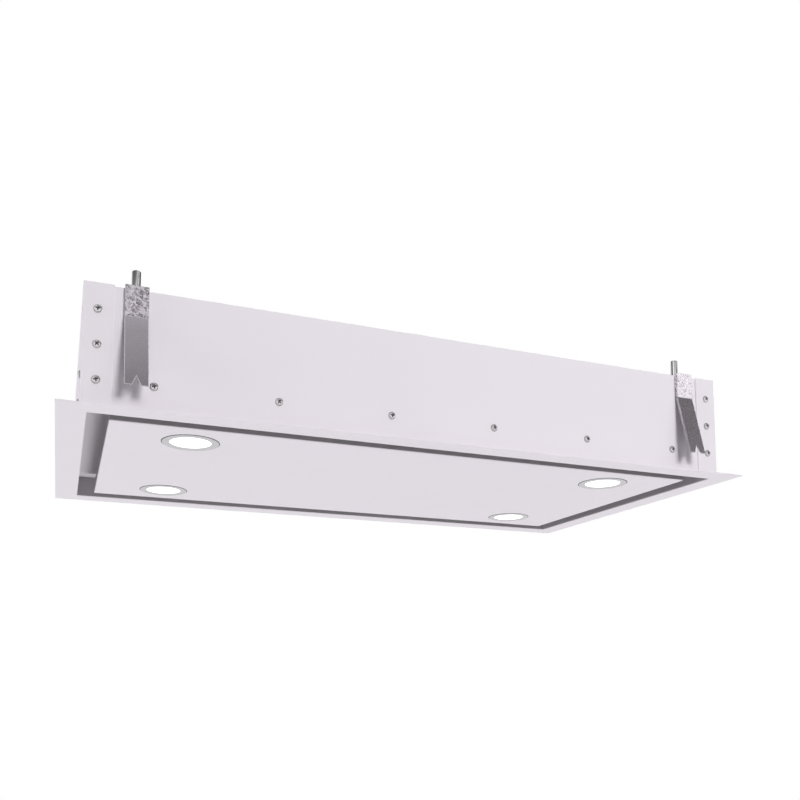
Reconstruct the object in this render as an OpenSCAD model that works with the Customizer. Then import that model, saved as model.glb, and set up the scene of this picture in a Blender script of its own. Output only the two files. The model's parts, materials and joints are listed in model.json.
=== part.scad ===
// Range hood for mounting flush in a ceiling.
// A trim frame lies against the ceiling, a casing stands on it inside the cut-out,
// and a hinged suction panel with four lamps closes the recess but for a slot all round.
// The origin is the centre of the trim frame's underside, with +Z up into the ceiling
// and -Y towards the front long side.

/* [Trim frame] */
// Length of the trim frame
trim_l = 900; // [860:10:1200]
// Width of the trim frame
trim_w = 500; // [460:10:640]
// Sheet thickness of the trim frame
trim_t = 1.5; // [1:0.1:2.5]
// Visible width of the rim round the opening
rim_w = 31.5; // [29:0.5:40]
// Height from the trim underside to the filter deck
recess_h = 30; // [29:0.5:36]

/* [Casing] */
// Inset of the casing from the trim frame's outer edge
casing_inset = 24; // [18:0.5:25]
// Height of the side panels' top edge above the trim underside
casing_h = 142.5; // [136:0.5:200]
// Sheet thickness of the casing and the deck
sheet_t = 1.2; // [0.8:0.1:1.5]
// How far the long panels end below the side panels
top_step = 1; // [0.5:0.1:3]
// Width of the strips that wrap round the corners
strip_w = 32; // [26:0.5:34]
// Width of the inward lips along the top of the long panels
lip_w = 18; // [14:0.5:24]
// Height of the deck's upturned lips
deck_lip_h = 12; // [10:0.5:14]

/* [Screws] */
// Diameter of a screw head
screw_head_d = 9.6; // [7:0.1:11]
// Height of a screw head
screw_head_h = 3; // [2:0.1:4]
// Diameter of a screw shank
screw_d = 4.8; // [3:0.1:5]
// Length of a screw shank
screw_l = 7; // [6:0.5:9]
// Height of the lowest screws above the deck's underside
screw_rise = 4.5; // [4:0.1:6.5]
// Distance of the highest corner screws below the casing's top
screw_top_drop = 29.5; // [20:0.5:35]
// Distance of the corner screws from the casing's corner
screw_corner = 15.3; // [12:0.1:17]
// Distance of a long row's last screw from the trim frame's short edge
screw_inset_x = 100; // [96:1:120]
// Distance of a short row's last screw from the trim frame's long edge
screw_inset_y = 110; // [90:1:150]
// Screws in a row on a long wall
long_screws = 6; // [4:2:6]
// Screws in a row on a short wall
short_screws = 3; // [2:1:4]

/* [Suction panel] */
// Width of the suction slot round the panel
panel_gap = 24; // [21:0.5:32]
// Depth of the panel's folded tray
panel_h = 16; // [15:0.5:17]
// Sheet thickness of the panel
panel_t = 1; // [0.8:0.1:1.2]
// How far the panel's face lies above the trim underside
panel_setback = 1.2; // [1:0.1:1.5]
// Width of the tray's inward return
panel_return = 12; // [8:0.5:16]

/* [Lamps] */
// Outer diameter of a lamp bezel
bezel_d = 68; // [64:1:80]
// Visible diameter of a lamp lens
lens_d = 50; // [44:1:54]
// Distance of a lamp's centre from the trim frame's short edge
lamp_inset_x = 153; // [120:1:200]
// Distance of a lamp's centre from the trim frame's long edge
lamp_inset_y = 113; // [100:1:150]
// How far a bezel stands proud of the panel
bezel_proud = 0.9; // [0.5:0.1:0.9]

/* [Clamps] */
// Distance of a clamp's centre from the trim frame's short edge
clamp_inset = 79.4; // [78:0.1:84]
// Width of a clamp
clamp_w = 25.4; // [24:0.1:28]
// Distance of a clamp's face from the long panel
clamp_proud = 5.2; // [5.1:0.1:6]
// Sheet thickness of a clamp bracket
clamp_t = 1; // [0.8:0.1:1.1]
// Height of a clamp bracket's face
clamp_h = 35; // [32:0.5:40]
// How far a clamp bracket stands above the casing
clamp_rise = 1.5; // [1.5:0.1:4]
// Downward travel of a clamp bracket on its rod
clamp_travel = 15; // [10:0.5:20]
// Angle at which a clamp leaf leans out
leaf_lean = 14.7; // [12:0.1:16]
// Height of a clamp leaf's tips above the trim underside
leaf_tip_z = 25; // [22:0.5:30]
// Sheet thickness of a clamp leaf
leaf_t = 0.8; // [0.6:0.1:1]
// Width of the notch between a leaf's tips
leaf_notch_w = 9.4; // [8:0.1:14]
// Depth of the notch between a leaf's tips
leaf_notch_h = 11; // [6:0.5:14]
// Diameter of a clamp rod
rod_d = 10; // [8:0.1:10.4]
// Distance of a clamp rod's axis behind the long panel's face
rod_set = 14.8; // [14.6:0.1:16]
// How far a clamp rod stands above the casing
rod_rise = 26.5; // [15:0.5:40]

/* [Grease filters] */
// Width of the closed strip of deck between the filters
deck_bridge_w = 140; // [120:2:180]
// Thickness of a filter cassette
filter_h = 10; // [8:0.5:12]
// Width of a filter's frame bar
filter_bar = 10; // [8:0.5:14]
// Travel of a filter latch
latch_travel = 6; // [4:0.5:7]

/* [Blower] */
// Gap between the grease filters and the blower
blower_gap = 16.5; // [14:0.5:24]
// Sheet thickness of the scroll housing
scroll_t = 1.5; // [1:0.1:2]
// Outer radius of the impeller as a share of the casing's inner half width
impeller_share = 0.425; // [0.38:0.005:0.44]
// Gap between the impeller and the scroll's tongue
tongue_gap = 9; // [7:0.5:12]
// Growth of the scroll's radius as a share of the casing's inner half width
growth_share = 0.3175; // [0.28:0.0025:0.34]
// Number of impeller blades
blades = 36; // [24:2:40]
// Radius of the motor
motor_r = 52; // [46:0.5:54]
// Diameter of the motor shaft
shaft_d = 8; // [6:0.5:10]

/* [Duct collar] */
// Outer width of the duct collar
collar_w = 222; // [180:1:230]
// Distance of the collar's top below the casing's top
collar_top_gap = 6; // [5.5:0.5:10]
// Distance of the collar's underside above the deck
collar_foot_gap = 16.3; // [10:0.1:24]
// Length of the collar's stub
collar_l = 23.5; // [16:0.5:24]
// Distance of the collar's middle from the hood's centre line
collar_x = 137.5; // [120:0.5:150]

/* [Electrics] */
// Length of the control box
control_l = 150; // [120:1:170]
// Width of the control box
control_w = 96; // [80:1:110]
// Height of the control box
control_h = 36; // [30:1:40]
// Length of the lamp driver
driver_l = 110; // [90:1:120]
// Width of the lamp driver
driver_w = 42; // [36:1:50]
// Height of the lamp driver
driver_h = 24; // [20:1:30]
// Bore of the cable gland
gland_bore = 9; // [6:0.5:11]

/* [Hidden] */

// Roundness, overrun of the cuts and the clearances
$fn = 48;
cut_over = 1;
run_clear = 0.05;
face_clear = 0.3;
slide_clear = 1;

// Colours
white_paint = [0.90, 0.88, 0.91];
zinc = [0.72, 0.73, 0.75];
dark_steel = [0.42, 0.41, 0.43];
bright_steel = [0.80, 0.81, 0.83];
aluminium = [0.78, 0.78, 0.80];
black_plastic = [0.12, 0.12, 0.13];
lens_white = [0.98, 0.98, 1.0];
rubber_grey = [0.20, 0.20, 0.21];
lead_grey = [0.55, 0.55, 0.57];
copper = [0.72, 0.45, 0.25];
board_green = [0.15, 0.40, 0.25];

// Trim frame and casing
trim_x = trim_l / 2;
trim_y = trim_w / 2;
open_x = trim_x - rim_w;
open_y = trim_y - rim_w;
case_x = trim_x - casing_inset;
case_y = trim_y - casing_inset;
inner_x = case_x - sheet_t;
front_y = case_y - sheet_t;
inner_y = front_y - sheet_t;
deck_z = recess_h;
deck_top = deck_z + sheet_t;
sheet_top = casing_h - top_step;
ceiling_z = sheet_top - 2 * sheet_t;

// Screws
screw_r = screw_d / 2;
screw_dome_share = 0.6;
screw_dome_h = screw_dome_share * screw_head_h;
screw_dome_r = (pow(screw_head_d / 2, 2) + pow(screw_dome_h, 2)) / (2 * screw_dome_h);
screw_z = deck_z + screw_rise;
strip_screw_count = 3;
strip_screw_pitch = (casing_h - screw_top_drop - screw_z) / (strip_screw_count - 1);
cross_w = 1;
cross_share = 0.55;
cross_depth_share = 0.6;
lip_screws = 5;
lip_screw_span_share = 0.62;
lip_screw_inset = lip_w / 2;

// Corner braces, each an angle behind the lapped strip
brace_long = 44;
brace_short = 28;
brace_gap = 1;
brace_z = deck_z + sheet_t + deck_lip_h + brace_gap;
brace_top_gap = 4;
brace_screw_inset = 32.8;
brace_screw_y = front_y - brace_screw_inset;
brace_screw_rise = 6;

// Suction panel, with its hinge axis above the cover near the back edge
panel_x = open_x - panel_gap;
panel_y = open_y - panel_gap;
panel_top = panel_setback + panel_h;
cover_inset = 3;
cover_top = panel_top + panel_t;
hinge_pin_r = 2;
hinge_r = 3.6;
hinge_set = 4.5;
hinge_lift = 0.7;
hinge_axis_y = panel_y - hinge_set;
hinge_axis_z = cover_top + hinge_r + hinge_lift;
hinge_x_share = 0.76;
hinge_x = hinge_x_share * panel_x;
hinge_knuckle_w = 20;
hinge_ear_t = 2;
hinge_leaf_w = 30;
hinge_leaf_l = 20;
hinge_leaf_t = 1.2;
hinge_arm_l = 42;

// Magnet catches
catch_x_share = 0.63;
catch_x = catch_x_share * panel_x;
catch_inset = 14.5;
catch_y = panel_y - catch_inset;
catch_l = 40;
catch_w = 14;
strike_t = 1.2;
strike_top = cover_top + strike_t;

// Lamps
lamp_x = trim_x - lamp_inset_x;
lamp_y = trim_y - lamp_inset_y;
bezel_z = panel_setback - bezel_proud;
lens_r = lens_d / 2;
neck_t = 3;
neck_r = lens_r + 0.5 * neck_t;
neck_out_r = neck_r + neck_t;
neck_h = 7;
lens_t = 2;
lamp_hole_clear = 0.4;
lamp_body_h = 7;
lamp_fin_h = 4;
lamp_fin_t = 2;
lamp_fins = 4;
clip_t = 0.8;
clip_w = 12;
clip_l = 10;

// Clamps, drawn for the front and turned half a turn for the back
clamp_x = trim_x - clamp_inset;
clamp_face = -(front_y + clamp_proud);
clamp_top = casing_h + clamp_rise;
clamp_foot = clamp_top - clamp_h;
clamp_wing_gap = 0.5;
clamp_wing = clamp_proud - clamp_wing_gap;
tab_w = 18;
tab_over = 8;
rod_y = -(front_y - rod_set);
rod_r = rod_d / 2;
rod_top = casing_h + rod_rise;
rod_chamfer = 0.8;
rod_head_r = 8;
rod_head_h = 1.5;
rod_socket_r = 2.9;
rod_socket_h = 5;
rod_clip_r = 8.5;
rod_clip_t = 1.5;
boss_r = 7.5;
boss_h = 6;
leaf_pin_r = 0.9;
leaf_ear_r = 1.5;
leaf_ear_t = 1;
leaf_ear_l = 8;
leaf_pin_gap = 2;
leaf_pin_y = -(front_y + leaf_pin_gap);
leaf_pin_z = clamp_foot + leaf_ear_r;
leaf_drop = 2.5;
leaf_set = (leaf_pin_y - clamp_face - leaf_drop * sin(leaf_lean)) / cos(leaf_lean);
leaf_l = (leaf_pin_z - leaf_tip_z + leaf_set * sin(leaf_lean)) / cos(leaf_lean) - leaf_drop;
leaf_wing = 3.3;
leaf_wing_end = 12;
notch_half = tab_w / 2 + slide_clear;
notch_z = clamp_top - clamp_t - clamp_travel - slide_clear;

// Grease filters, hung in the deck by two tongues at the back and a latch bolt in front
filter_end_gap = 4.5;
filter_side_gap = 24.5;
filter_drop = 1.5;
filter_in = deck_bridge_w / 2;
filter_out = panel_x - filter_end_gap;
filter_y = panel_y - filter_side_gap;
filter_z = deck_z - filter_drop;
filter_top = filter_z + filter_h;
filter_mid = (filter_in + filter_out) / 2;
tongue_w = 20;
tongue_l = 8;
tongue_t = 1.5;
tongue_spread_share = 0.5;
mesh_share = 0.6;
mesh_t = mesh_share * filter_h;
mesh_z = filter_z + (filter_h - mesh_t) / 2;
latch_wall = 4;
latch_block_w = 46;
latch_block_l = 30;
latch_w = 32;
latch_l = 16;
latch_wing = 3;
latch_grip_t = 2;
latch_front = latch_wall - filter_y;
latch_back = latch_front + latch_l;
latch_bolt_w = 16;
latch_bolt_t = 1.8;
latch_bolt_over = 5;
latch_bolt_z = deck_top + face_clear;
latch_top = latch_bolt_z + latch_bolt_t;

// Blower
mount_h = 4.6;
mount_r = 7;
scroll_top = ceiling_z - mount_h;
scroll_z = filter_top + blower_gap;
scroll_floor = scroll_z + scroll_t;
scroll_roof = scroll_top - scroll_t;
blower_x = 20;
blower_y_share = 0.134;
blower_y = -blower_y_share * inner_y;
impeller_r = impeller_share * inner_y;
scroll_growth = growth_share * inner_y;
tongue_angle = 55;
spiral_steps = 40;
spiral_r0 = impeller_r + tongue_gap;
outlet_half_w = 97.5;
outlet_left = collar_x - outlet_half_w;
outlet_right = collar_x + outlet_half_w;
inlet_step = 19;
inlet_r = impeller_r - inlet_step;
inlet_lip_t = 1.5;
impeller_foot_gap = 5.5;
impeller_head_gap = 5;
impeller_z = scroll_floor + impeller_foot_gap;
impeller_top = scroll_roof - impeller_head_gap;
ring_t = 2;
back_t = 1.5;
blade_l = 13.5;
blade_inset = 1;
blade_r1 = impeller_r - blade_inset;
blade_r0 = blade_r1 - blade_l;
blade_t = 0.8;
blade_sweep = 14;
blade_steps = 4;
cup_gap = 4;
cup_t = 2;
cup_r = motor_r + cup_gap;
cup_share = 0.705;
cup_z = impeller_top - cup_share * (impeller_top - impeller_z);
hub_r = 9;
hub_h = 10;
shaft_r = shaft_d / 2;
motor_foot_gap = 8;
motor_z = cup_z + motor_foot_gap;
motor_wall = 2;
motor_lid_t = 2;
lid_z = scroll_roof - motor_lid_t;
motor_h = lid_z - motor_z;
bearing_r = 11;
bearing_h = 6;
seat_t = 2;
seat_h = 5;
stator_t = 14;
air_gap = 0.5;
core_gap = 3.8;
core_z = motor_z + motor_wall + bearing_h + core_gap;
core_h = lid_z - bearing_h - core_gap - core_z;
mount_reach = 5;
mount_spread = impeller_r + mount_reach;
capacitor_r = 16;
capacitor_l = 58;
capacitor_set_x = 242;
capacitor_set_y = 60;
capacitor_x = blower_x + capacitor_set_x;
capacitor_y = blower_y - capacitor_set_y;
capacitor_strap_t = 1.5;
capacitor_strap_w = 14;

// Duct collar and its flaps
collar_h = casing_h - collar_top_gap - collar_foot_gap - deck_top;
collar_z = casing_h - collar_top_gap - collar_h / 2;
collar_rim = 4.5;
collar_ledge = 1.8;
collar_t = 1.2;
collar_wall_y = front_y + collar_t;
flap_t = 1;
flap_clear = 0.8;
flap_knuckle_r = 2.4;
flap_pin_r = 1.4;
flap_axis_y = collar_wall_y + face_clear + flap_knuckle_r;
flap_half_z = collar_h / 2 - collar_t - flap_clear;
flap_end = collar_w / 2 - collar_t - flap_clear;
flap_knuckle_share = 0.3;

// Electrics
control_inset_x = 74.8;
control_inset_y = 113.6;
control_x = control_inset_x - inner_x;
control_y = inner_y - control_inset_y - control_l;
control_wall = 2;
board_t = 1.6;
board_rise = 6;
driver_gap_x = 48;
driver_inset_y = 61.6;
driver_x = control_x + control_w + driver_gap_x;
driver_y = inner_y - driver_inset_y - driver_w;
gland_inset = 126;
gland_x = gland_inset - case_x;
gland_drop = 40;
gland_z = casing_h - gland_drop;
gland_wall = 3.7;
gland_shoulder = 1.8;
gland_thread_r = gland_bore / 2 + gland_wall;
gland_r = gland_thread_r + gland_shoulder;
gland_nut_r = 12;
gland_nut_h = 6;
gland_out = 18;
gland_in = 12;

// Leads inside the casing and the panel. The lamps' lead crosses along the hinge axis,
// where its two ends meet and the panel's end only twists.
lead_sides = 8;
bend_steps = 4;
lead_ref = [0.31, 0.52, 0.80];
lead_r = 1.5;
lead_bend = 4;
wire_z = panel_setback + panel_t + lead_r;
wire_clear = 3;
grommet_r = 4;
grommet_x = 24;
rise_x = -8;
rise_y = panel_y - panel_return - grommet_r;
meet_x = 2;
roof_lead_z = scroll_top + (ceiling_z - scroll_top) / 2;
box_lead_z = ceiling_z - driver_h / 2;
motor_lead_y = 20;
motor_lead_x = -10;
feed_inset = 14;
feed_y = control_y + control_l - feed_inset;
feed_x = driver_x - driver_gap_x / 2;
capacitor_turn = 21;
capacitor_turn_x = capacitor_x - capacitor_l / 2 - capacitor_turn;
capacitor_lead_x = 130;

// Shared building blocks

module block(x0, y0, z0, x1, y1, z1) {
    translate([x0, y0, z0]) cube([x1 - x0, y1 - y0, z1 - z0]);
}

module slab(hx, hy, z0, z1) {
    block(-hx, -hy, z0, hx, hy, z1);
}

module ring_wall(hx, hy, t, z0, z1) {
    difference() {
        slab(hx, hy, z0, z1);
        slab(hx - t, hy - t, z0 - cut_over, z1 + cut_over);
    }
}

module disc(r, z0, z1) {
    translate([0, 0, z0]) cylinder(h = z1 - z0, r = r);
}

module tube(r_out, r_in, z0, z1) {
    difference() {
        disc(r_out, z0, z1);
        disc(r_in, z0 - cut_over, z1 + cut_over);
    }
}

// A cylinder along X between two ends
module rod_x(r, x0, x1) {
    translate([x0, 0, 0]) rotate([0, 90, 0]) cylinder(h = x1 - x0, r = r);
}

// A round lead swept along a route whose corners are rounded
function unit(v) = v / norm(v);

function bend(p, q, s, r) = let(a = q + r * unit(p - q), c = q + r * unit(s - q))
    [for (i = [0 : bend_steps]) let(t = i / bend_steps)
        (1 - t) * (1 - t) * a + 2 * t * (1 - t) * q + t * t * c];

function route(points, r) = concat([points[0]],
    [for (i = [1 : 1 : len(points) - 2]) each bend(points[i - 1], points[i], points[i + 1], r)],
    [points[len(points) - 1]]);

function heading(p, i) = unit(p[min(i + 1, len(p) - 1)] - p[max(i - 1, 0)]);

function lead_ring(p, i, r) = let(t = heading(p, i), a = unit(cross(t, lead_ref)), b = cross(t, a))
    [for (k = [0 : lead_sides - 1]) let(turn = 360 * k / lead_sides)
        p[i] + r * (cos(turn) * a + sin(turn) * b)];

module lead(points, r, bend_r) {
    p = route(points, bend_r);
    n = len(p);
    m = lead_sides;
    rings = [for (i = [0 : n - 1]) each lead_ring(p, i, r)];
    sides = [for (i = [0 : n - 2], k = [0 : m - 1]) let(a = i * m + k, b = i * m + (k + 1) % m)
        each [[a, b, b + m], [a, b + m, a + m]]];
    start = [for (k = [1 : m - 2]) [0, k + 1, k]];
    end = [for (k = [1 : m - 2]) [(n - 1) * m, (n - 1) * m + k, (n - 1) * m + k + 1]];
    polyhedron(points = rings, faces = concat(sides, start, end));
}

// Screws and the places where they sit

module screw() {
    color(zinc) difference() {
        union() {
            intersection() {
                translate([0, 0, screw_head_h - screw_dome_r]) sphere(r = screw_dome_r);
                disc(screw_head_d / 2, 0, screw_head_h);
            }
            disc(screw_r, -screw_l, screw_head_h / 2);
        }
        for (turn = [0, 90])
            rotate([0, 0, turn]) slot_cut();
    }
}

module slot_cut() {
    slab(cross_share * screw_head_d / 2, cross_w / 2,
        (1 - cross_depth_share) * screw_head_h, screw_head_h + cut_over);
}

module screw_hole() {
    translate([0, 0, -screw_l]) cylinder(h = 2 * screw_l, r = screw_r + run_clear);
}

module strip_places(sides_x, sides_y) {
    for (sx = sides_x, sy = sides_y, i = [0 : strip_screw_count - 1])
        translate([sx * (case_x - screw_corner), sy * case_y, screw_z + i * strip_screw_pitch])
            rotate([-90 * sy, 0, 0]) children();
}

module long_places(sides_y) {
    for (sy = sides_y, i = [0 : long_screws - 1])
        translate([(2 * i / (long_screws - 1) - 1) * (trim_x - screw_inset_x), sy * front_y, screw_z])
            rotate([-90 * sy, 0, 0]) children();
}

module short_places(sides_x) {
    for (sx = sides_x, i = [0 : short_screws - 1])
        translate([sx * case_x, (2 * i / (short_screws - 1) - 1) * (trim_y - screw_inset_y), screw_z])
            rotate([0, 90 * sx, 0]) children();
}

module brace_places(sides_x) {
    for (sx = sides_x, sy = [-1, 1])
        translate([sx * case_x, sy * brace_screw_y, brace_z + brace_screw_rise])
            rotate([0, 90 * sx, 0]) children();
}

module lip_places(sides_y) {
    for (sy = sides_y, i = [0 : lip_screws - 1])
        translate([(i / (lip_screws - 1) * 2 - 1) * lip_screw_span_share * inner_x,
            sy * (front_y - lip_screw_inset), sheet_top]) children();
}

module collar_places() {
    for (sx = [-1, 1], sz = [-1, 1])
        translate([collar_x + sx * (collar_w / 2 + screw_head_d / 2 + collar_ledge), collar_wall_y,
            collar_z + sz * collar_h / 4]) rotate([-90, 0, 0]) children();
}

// Casing

module trim_frame() {
    color(white_paint) difference() {
        union() {
            slab(trim_x, trim_y, 0, trim_t);
            slab(open_x + trim_t, open_y + trim_t, 0, deck_z);
        }
        slab(open_x, open_y, -cut_over, deck_z + cut_over);
    }
}

// Room in the long panels, their lips and the top panel for the clamps' travel
module clamp_notches(sides_y) {
    for (sx = [-1, 1], sy = sides_y)
        clamp_place(sx, sy) block(-notch_half, -(front_y + cut_over), notch_z, notch_half,
            rod_y + tab_over + slide_clear, casing_h + cut_over);
}

module long_panel(side) {
    out = side * front_y;
    back = side * inner_y;
    lip = side * (front_y - lip_w);
    color(white_paint) difference() {
        union() {
            block(-inner_x, min(out, back), trim_t, inner_x, max(out, back), sheet_top);
            block(-inner_x, min(out, lip), sheet_top - sheet_t, inner_x, max(out, lip), sheet_top);
        }
        clamp_notches([side]);
        strip_places([-1, 1], [side]) screw_hole();
        long_places([side]) screw_hole();
        lip_places([side]) screw_hole();
    }
}

module front_panel() {
    long_panel(-1);
}

module back_panel() {
    color(white_paint) difference() {
        long_panel(1);
        outlet_cut();
        collar_places() screw_hole();
        translate([gland_x, front_y, gland_z]) rotate([-90, 0, 0])
            translate([0, 0, -sheet_t - cut_over])
                cylinder(h = sheet_t + 2 * cut_over, r = gland_thread_r + run_clear);
    }
}

module outlet_cut() {
    block(collar_x - collar_w / 2 + collar_t + collar_ledge, inner_y - cut_over,
        collar_z - collar_h / 2 + collar_t + collar_ledge,
        collar_x + collar_w / 2 - collar_t - collar_ledge, collar_wall_y + cut_over,
        collar_z + collar_h / 2 - collar_t - collar_ledge);
}

module side_panel(side) {
    out = side * case_x;
    strip_in = side * (case_x - strip_w);
    color(white_paint) difference() {
        union() {
            block(min(out, side * inner_x), -case_y, trim_t, max(out, side * inner_x), case_y, casing_h);
            block(min(out, strip_in), -case_y, trim_t, max(out, strip_in), -front_y, casing_h);
            block(min(out, strip_in), front_y, trim_t, max(out, strip_in), case_y, casing_h);
        }
        strip_places([side], [-1, 1]) screw_hole();
        short_places([side]) screw_hole();
        brace_places([side]) screw_hole();
    }
}

module left_panel() {
    side_panel(-1);
}

module right_panel() {
    side_panel(1);
}

module top_panel() {
    color(zinc) difference() {
        slab(inner_x, inner_y, ceiling_z, ceiling_z + sheet_t);
        clamp_notches([-1, 1]);
        lip_places([-1, 1]) screw_hole();
    }
}

module filter_deck() {
    color(white_paint) difference() {
        union() {
            slab(inner_x, inner_y, deck_z, deck_top);
            ring_wall(inner_x, inner_y, sheet_t, deck_z, deck_top + deck_lip_h);
        }
        for (s = [-1, 1])
            block(min(s * (filter_in - slide_clear), s * (filter_out + slide_clear)), -filter_y - slide_clear,
                deck_z - cut_over, max(s * (filter_in - slide_clear), s * (filter_out + slide_clear)),
                filter_y + slide_clear, deck_top + cut_over);
        for (sx = [-1, 1], sy = [-1, 1])
            clamp_place(sx, sy) translate([0, rod_y, 0])
                disc(rod_r + run_clear, deck_z - cut_over, deck_top + cut_over);
        strip_places([-1, 1], [-1, 1]) screw_hole();
        long_places([-1, 1]) screw_hole();
        short_places([-1, 1]) screw_hole();
        translate([grommet_x, hinge_axis_y, 0]) disc(grommet_r, deck_z - cut_over, deck_top + cut_over);
    }
}

module corner_braces() {
    color(zinc) difference() {
        for (sx = [-1, 1], sy = [-1, 1])
            brace(sx, sy);
        strip_places([-1, 1], [-1, 1]) screw_hole();
        brace_places([-1, 1]) screw_hole();
    }
}

module brace(sx, sy) {
    brace_wing(sx, sy, sheet_t, brace_long);
    brace_wing(sx, sy, brace_short, sheet_t);
}

module brace_wing(sx, sy, wing_x, wing_y) {
    x0 = sx * inner_x;
    x1 = sx * (inner_x - wing_x);
    y0 = sy * inner_y;
    y1 = sy * (inner_y - wing_y);
    block(min(x0, x1), min(y0, y1), brace_z, max(x0, x1), max(y0, y1), ceiling_z - brace_top_gap);
}

module corner_screws() {
    strip_places([-1, 1], [-1, 1]) screw();
}

module deck_screws() {
    long_places([-1, 1]) screw();
    short_places([-1, 1]) screw();
    brace_places([-1, 1]) screw();
}

module small_screws() {
    lip_places([-1, 1]) screw();
    collar_places() screw();
}

// Suction panel

module lamp_places() {
    for (sx = [-1, 1], sy = [-1, 1])
        translate([sx * lamp_x, sy * lamp_y, 0]) children();
}

module suction_panel() {
    color(white_paint) difference() {
        union() {
            slab(panel_x, panel_y, panel_setback, panel_setback + panel_t);
            ring_wall(panel_x, panel_y, panel_t, panel_setback, panel_top);
            ring_wall(panel_x, panel_y, panel_return, panel_top - panel_t, panel_top);
        }
        lamp_places() disc(neck_out_r + lamp_hole_clear, 0, panel_setback + panel_t + cut_over);
    }
}

module panel_cover() {
    color(zinc) difference() {
        slab(panel_x - cover_inset, panel_y - cover_inset, panel_top, cover_top);
        translate([rise_x, rise_y, 0]) disc(lead_r + run_clear, panel_top - cut_over, cover_top + cut_over);
    }
}

module lamp_bezels() {
    color(aluminium) lamp_places() {
        difference() {
            union() {
                disc(bezel_d / 2, bezel_z, panel_setback);
                disc(neck_out_r, bezel_z, panel_setback + neck_h);
            }
            disc(lens_r, bezel_z - cut_over, panel_setback + neck_h + cut_over);
            disc(neck_r, panel_setback, panel_setback + neck_h + cut_over);
        }
    }
}

module lamp_lenses() {
    color(lens_white) lamp_places() disc(neck_r - run_clear, panel_setback, panel_setback + lens_t);
}

module lamp_bodies() {
    body_z = panel_setback + lens_t;
    color(aluminium) lamp_places() {
        disc(neck_r - run_clear, body_z, body_z + lamp_body_h);
        intersection() {
            disc(neck_r - neck_t, body_z + lamp_body_h / 2, body_z + lamp_body_h + lamp_fin_h);
            for (i = [0 : lamp_fins - 1])
                rotate([0, 0, i * 180 / lamp_fins])
                    slab(neck_out_r, lamp_fin_t / 2, body_z, body_z + lamp_body_h + lamp_fin_h);
        }
    }
}

// Two spring clips a lamp press the bezel's neck against the panel
module lamp_clips() {
    foot_z = panel_setback + panel_t;
    color(bright_steel) lamp_places()
        for (turn = [0, 180])
            rotate([0, 0, turn]) {
                block(neck_out_r + run_clear, -clip_w / 2, foot_z, neck_out_r + run_clear + clip_l,
                    clip_w / 2, foot_z + clip_t);
                block(neck_out_r + run_clear, -clip_w / 2, foot_z, neck_out_r + run_clear + clip_t,
                    clip_w / 2, panel_setback + neck_h);
            }
}

// Hinges: brackets and pins stay with the deck, arms with the panel

module hinge_places() {
    for (s = [-1, 1])
        translate([s * hinge_x, hinge_axis_y, hinge_axis_z]) children();
}

module hinge_brackets() {
    drop = deck_z - hinge_axis_z;
    ear_in = hinge_knuckle_w / 2 + slide_clear / 2;
    color(bright_steel) hinge_places() difference() {
        union() {
            block(-hinge_leaf_w / 2, -hinge_leaf_l / 2, drop - hinge_leaf_t,
                hinge_leaf_w / 2, hinge_leaf_l / 2, drop);
            for (s = [-1, 1])
                translate([s * (ear_in + hinge_ear_t / 2), 0, 0]) {
                    rod_x(hinge_r, -hinge_ear_t / 2, hinge_ear_t / 2);
                    block(-hinge_ear_t / 2, -hinge_r, 0, hinge_ear_t / 2, hinge_r, drop);
                }
        }
        rod_x(hinge_pin_r + run_clear, -hinge_leaf_w, hinge_leaf_w);
    }
}

module hinge_pins() {
    color(dark_steel) hinge_places() rod_x(hinge_pin_r, -hinge_leaf_w / 2, hinge_leaf_w / 2);
}

module hinge_arms() {
    seat = cover_top - hinge_axis_z;
    color(bright_steel) hinge_places() difference() {
        union() {
            rod_x(hinge_r, -hinge_knuckle_w / 2, hinge_knuckle_w / 2);
            block(-hinge_knuckle_w / 2, -hinge_arm_l, seat, hinge_knuckle_w / 2, 0, seat + hinge_leaf_t);
            block(-hinge_knuckle_w / 2, -hinge_r, seat, hinge_knuckle_w / 2, 0, 0);
        }
        rod_x(hinge_pin_r + run_clear, -hinge_leaf_w, hinge_leaf_w);
    }
}

module catch_places() {
    for (s = [-1, 1])
        translate([s * catch_x, -catch_y, 0]) children();
}

module magnet_catches() {
    color(black_plastic) catch_places()
        slab(catch_l / 2, catch_w / 2, strike_top + face_clear, deck_z);
}

module strike_plates() {
    color(bright_steel) catch_places() slab(catch_l / 2, catch_w / 2, cover_top, strike_top);
}

// Grease filters

module filter_frame(side) {
    x0 = min(side * filter_in, side * filter_out);
    x1 = max(side * filter_in, side * filter_out);
    mid = side * filter_mid;
    block_y = latch_block_l - filter_y;
    color(aluminium) difference() {
        union() {
            difference() {
                block(x0, -filter_y, filter_z, x1, filter_y, filter_top);
                block(x0 + filter_bar, filter_bar - filter_y, filter_z - cut_over,
                    x1 - filter_bar, filter_y - filter_bar, filter_top + cut_over);
            }
            block(mid - latch_block_w / 2, -filter_y, filter_z, mid + latch_block_w / 2, block_y, filter_top);
            for (s = [-1, 1])
                translate([mid + s * tongue_spread_share * (filter_out - filter_in) / 2, 0, 0])
                    block(-tongue_w / 2, filter_y - filter_bar, deck_top,
                        tongue_w / 2, filter_y + tongue_l, deck_top + tongue_t);
        }
        latch_pocket(mid);
    }
}

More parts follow.
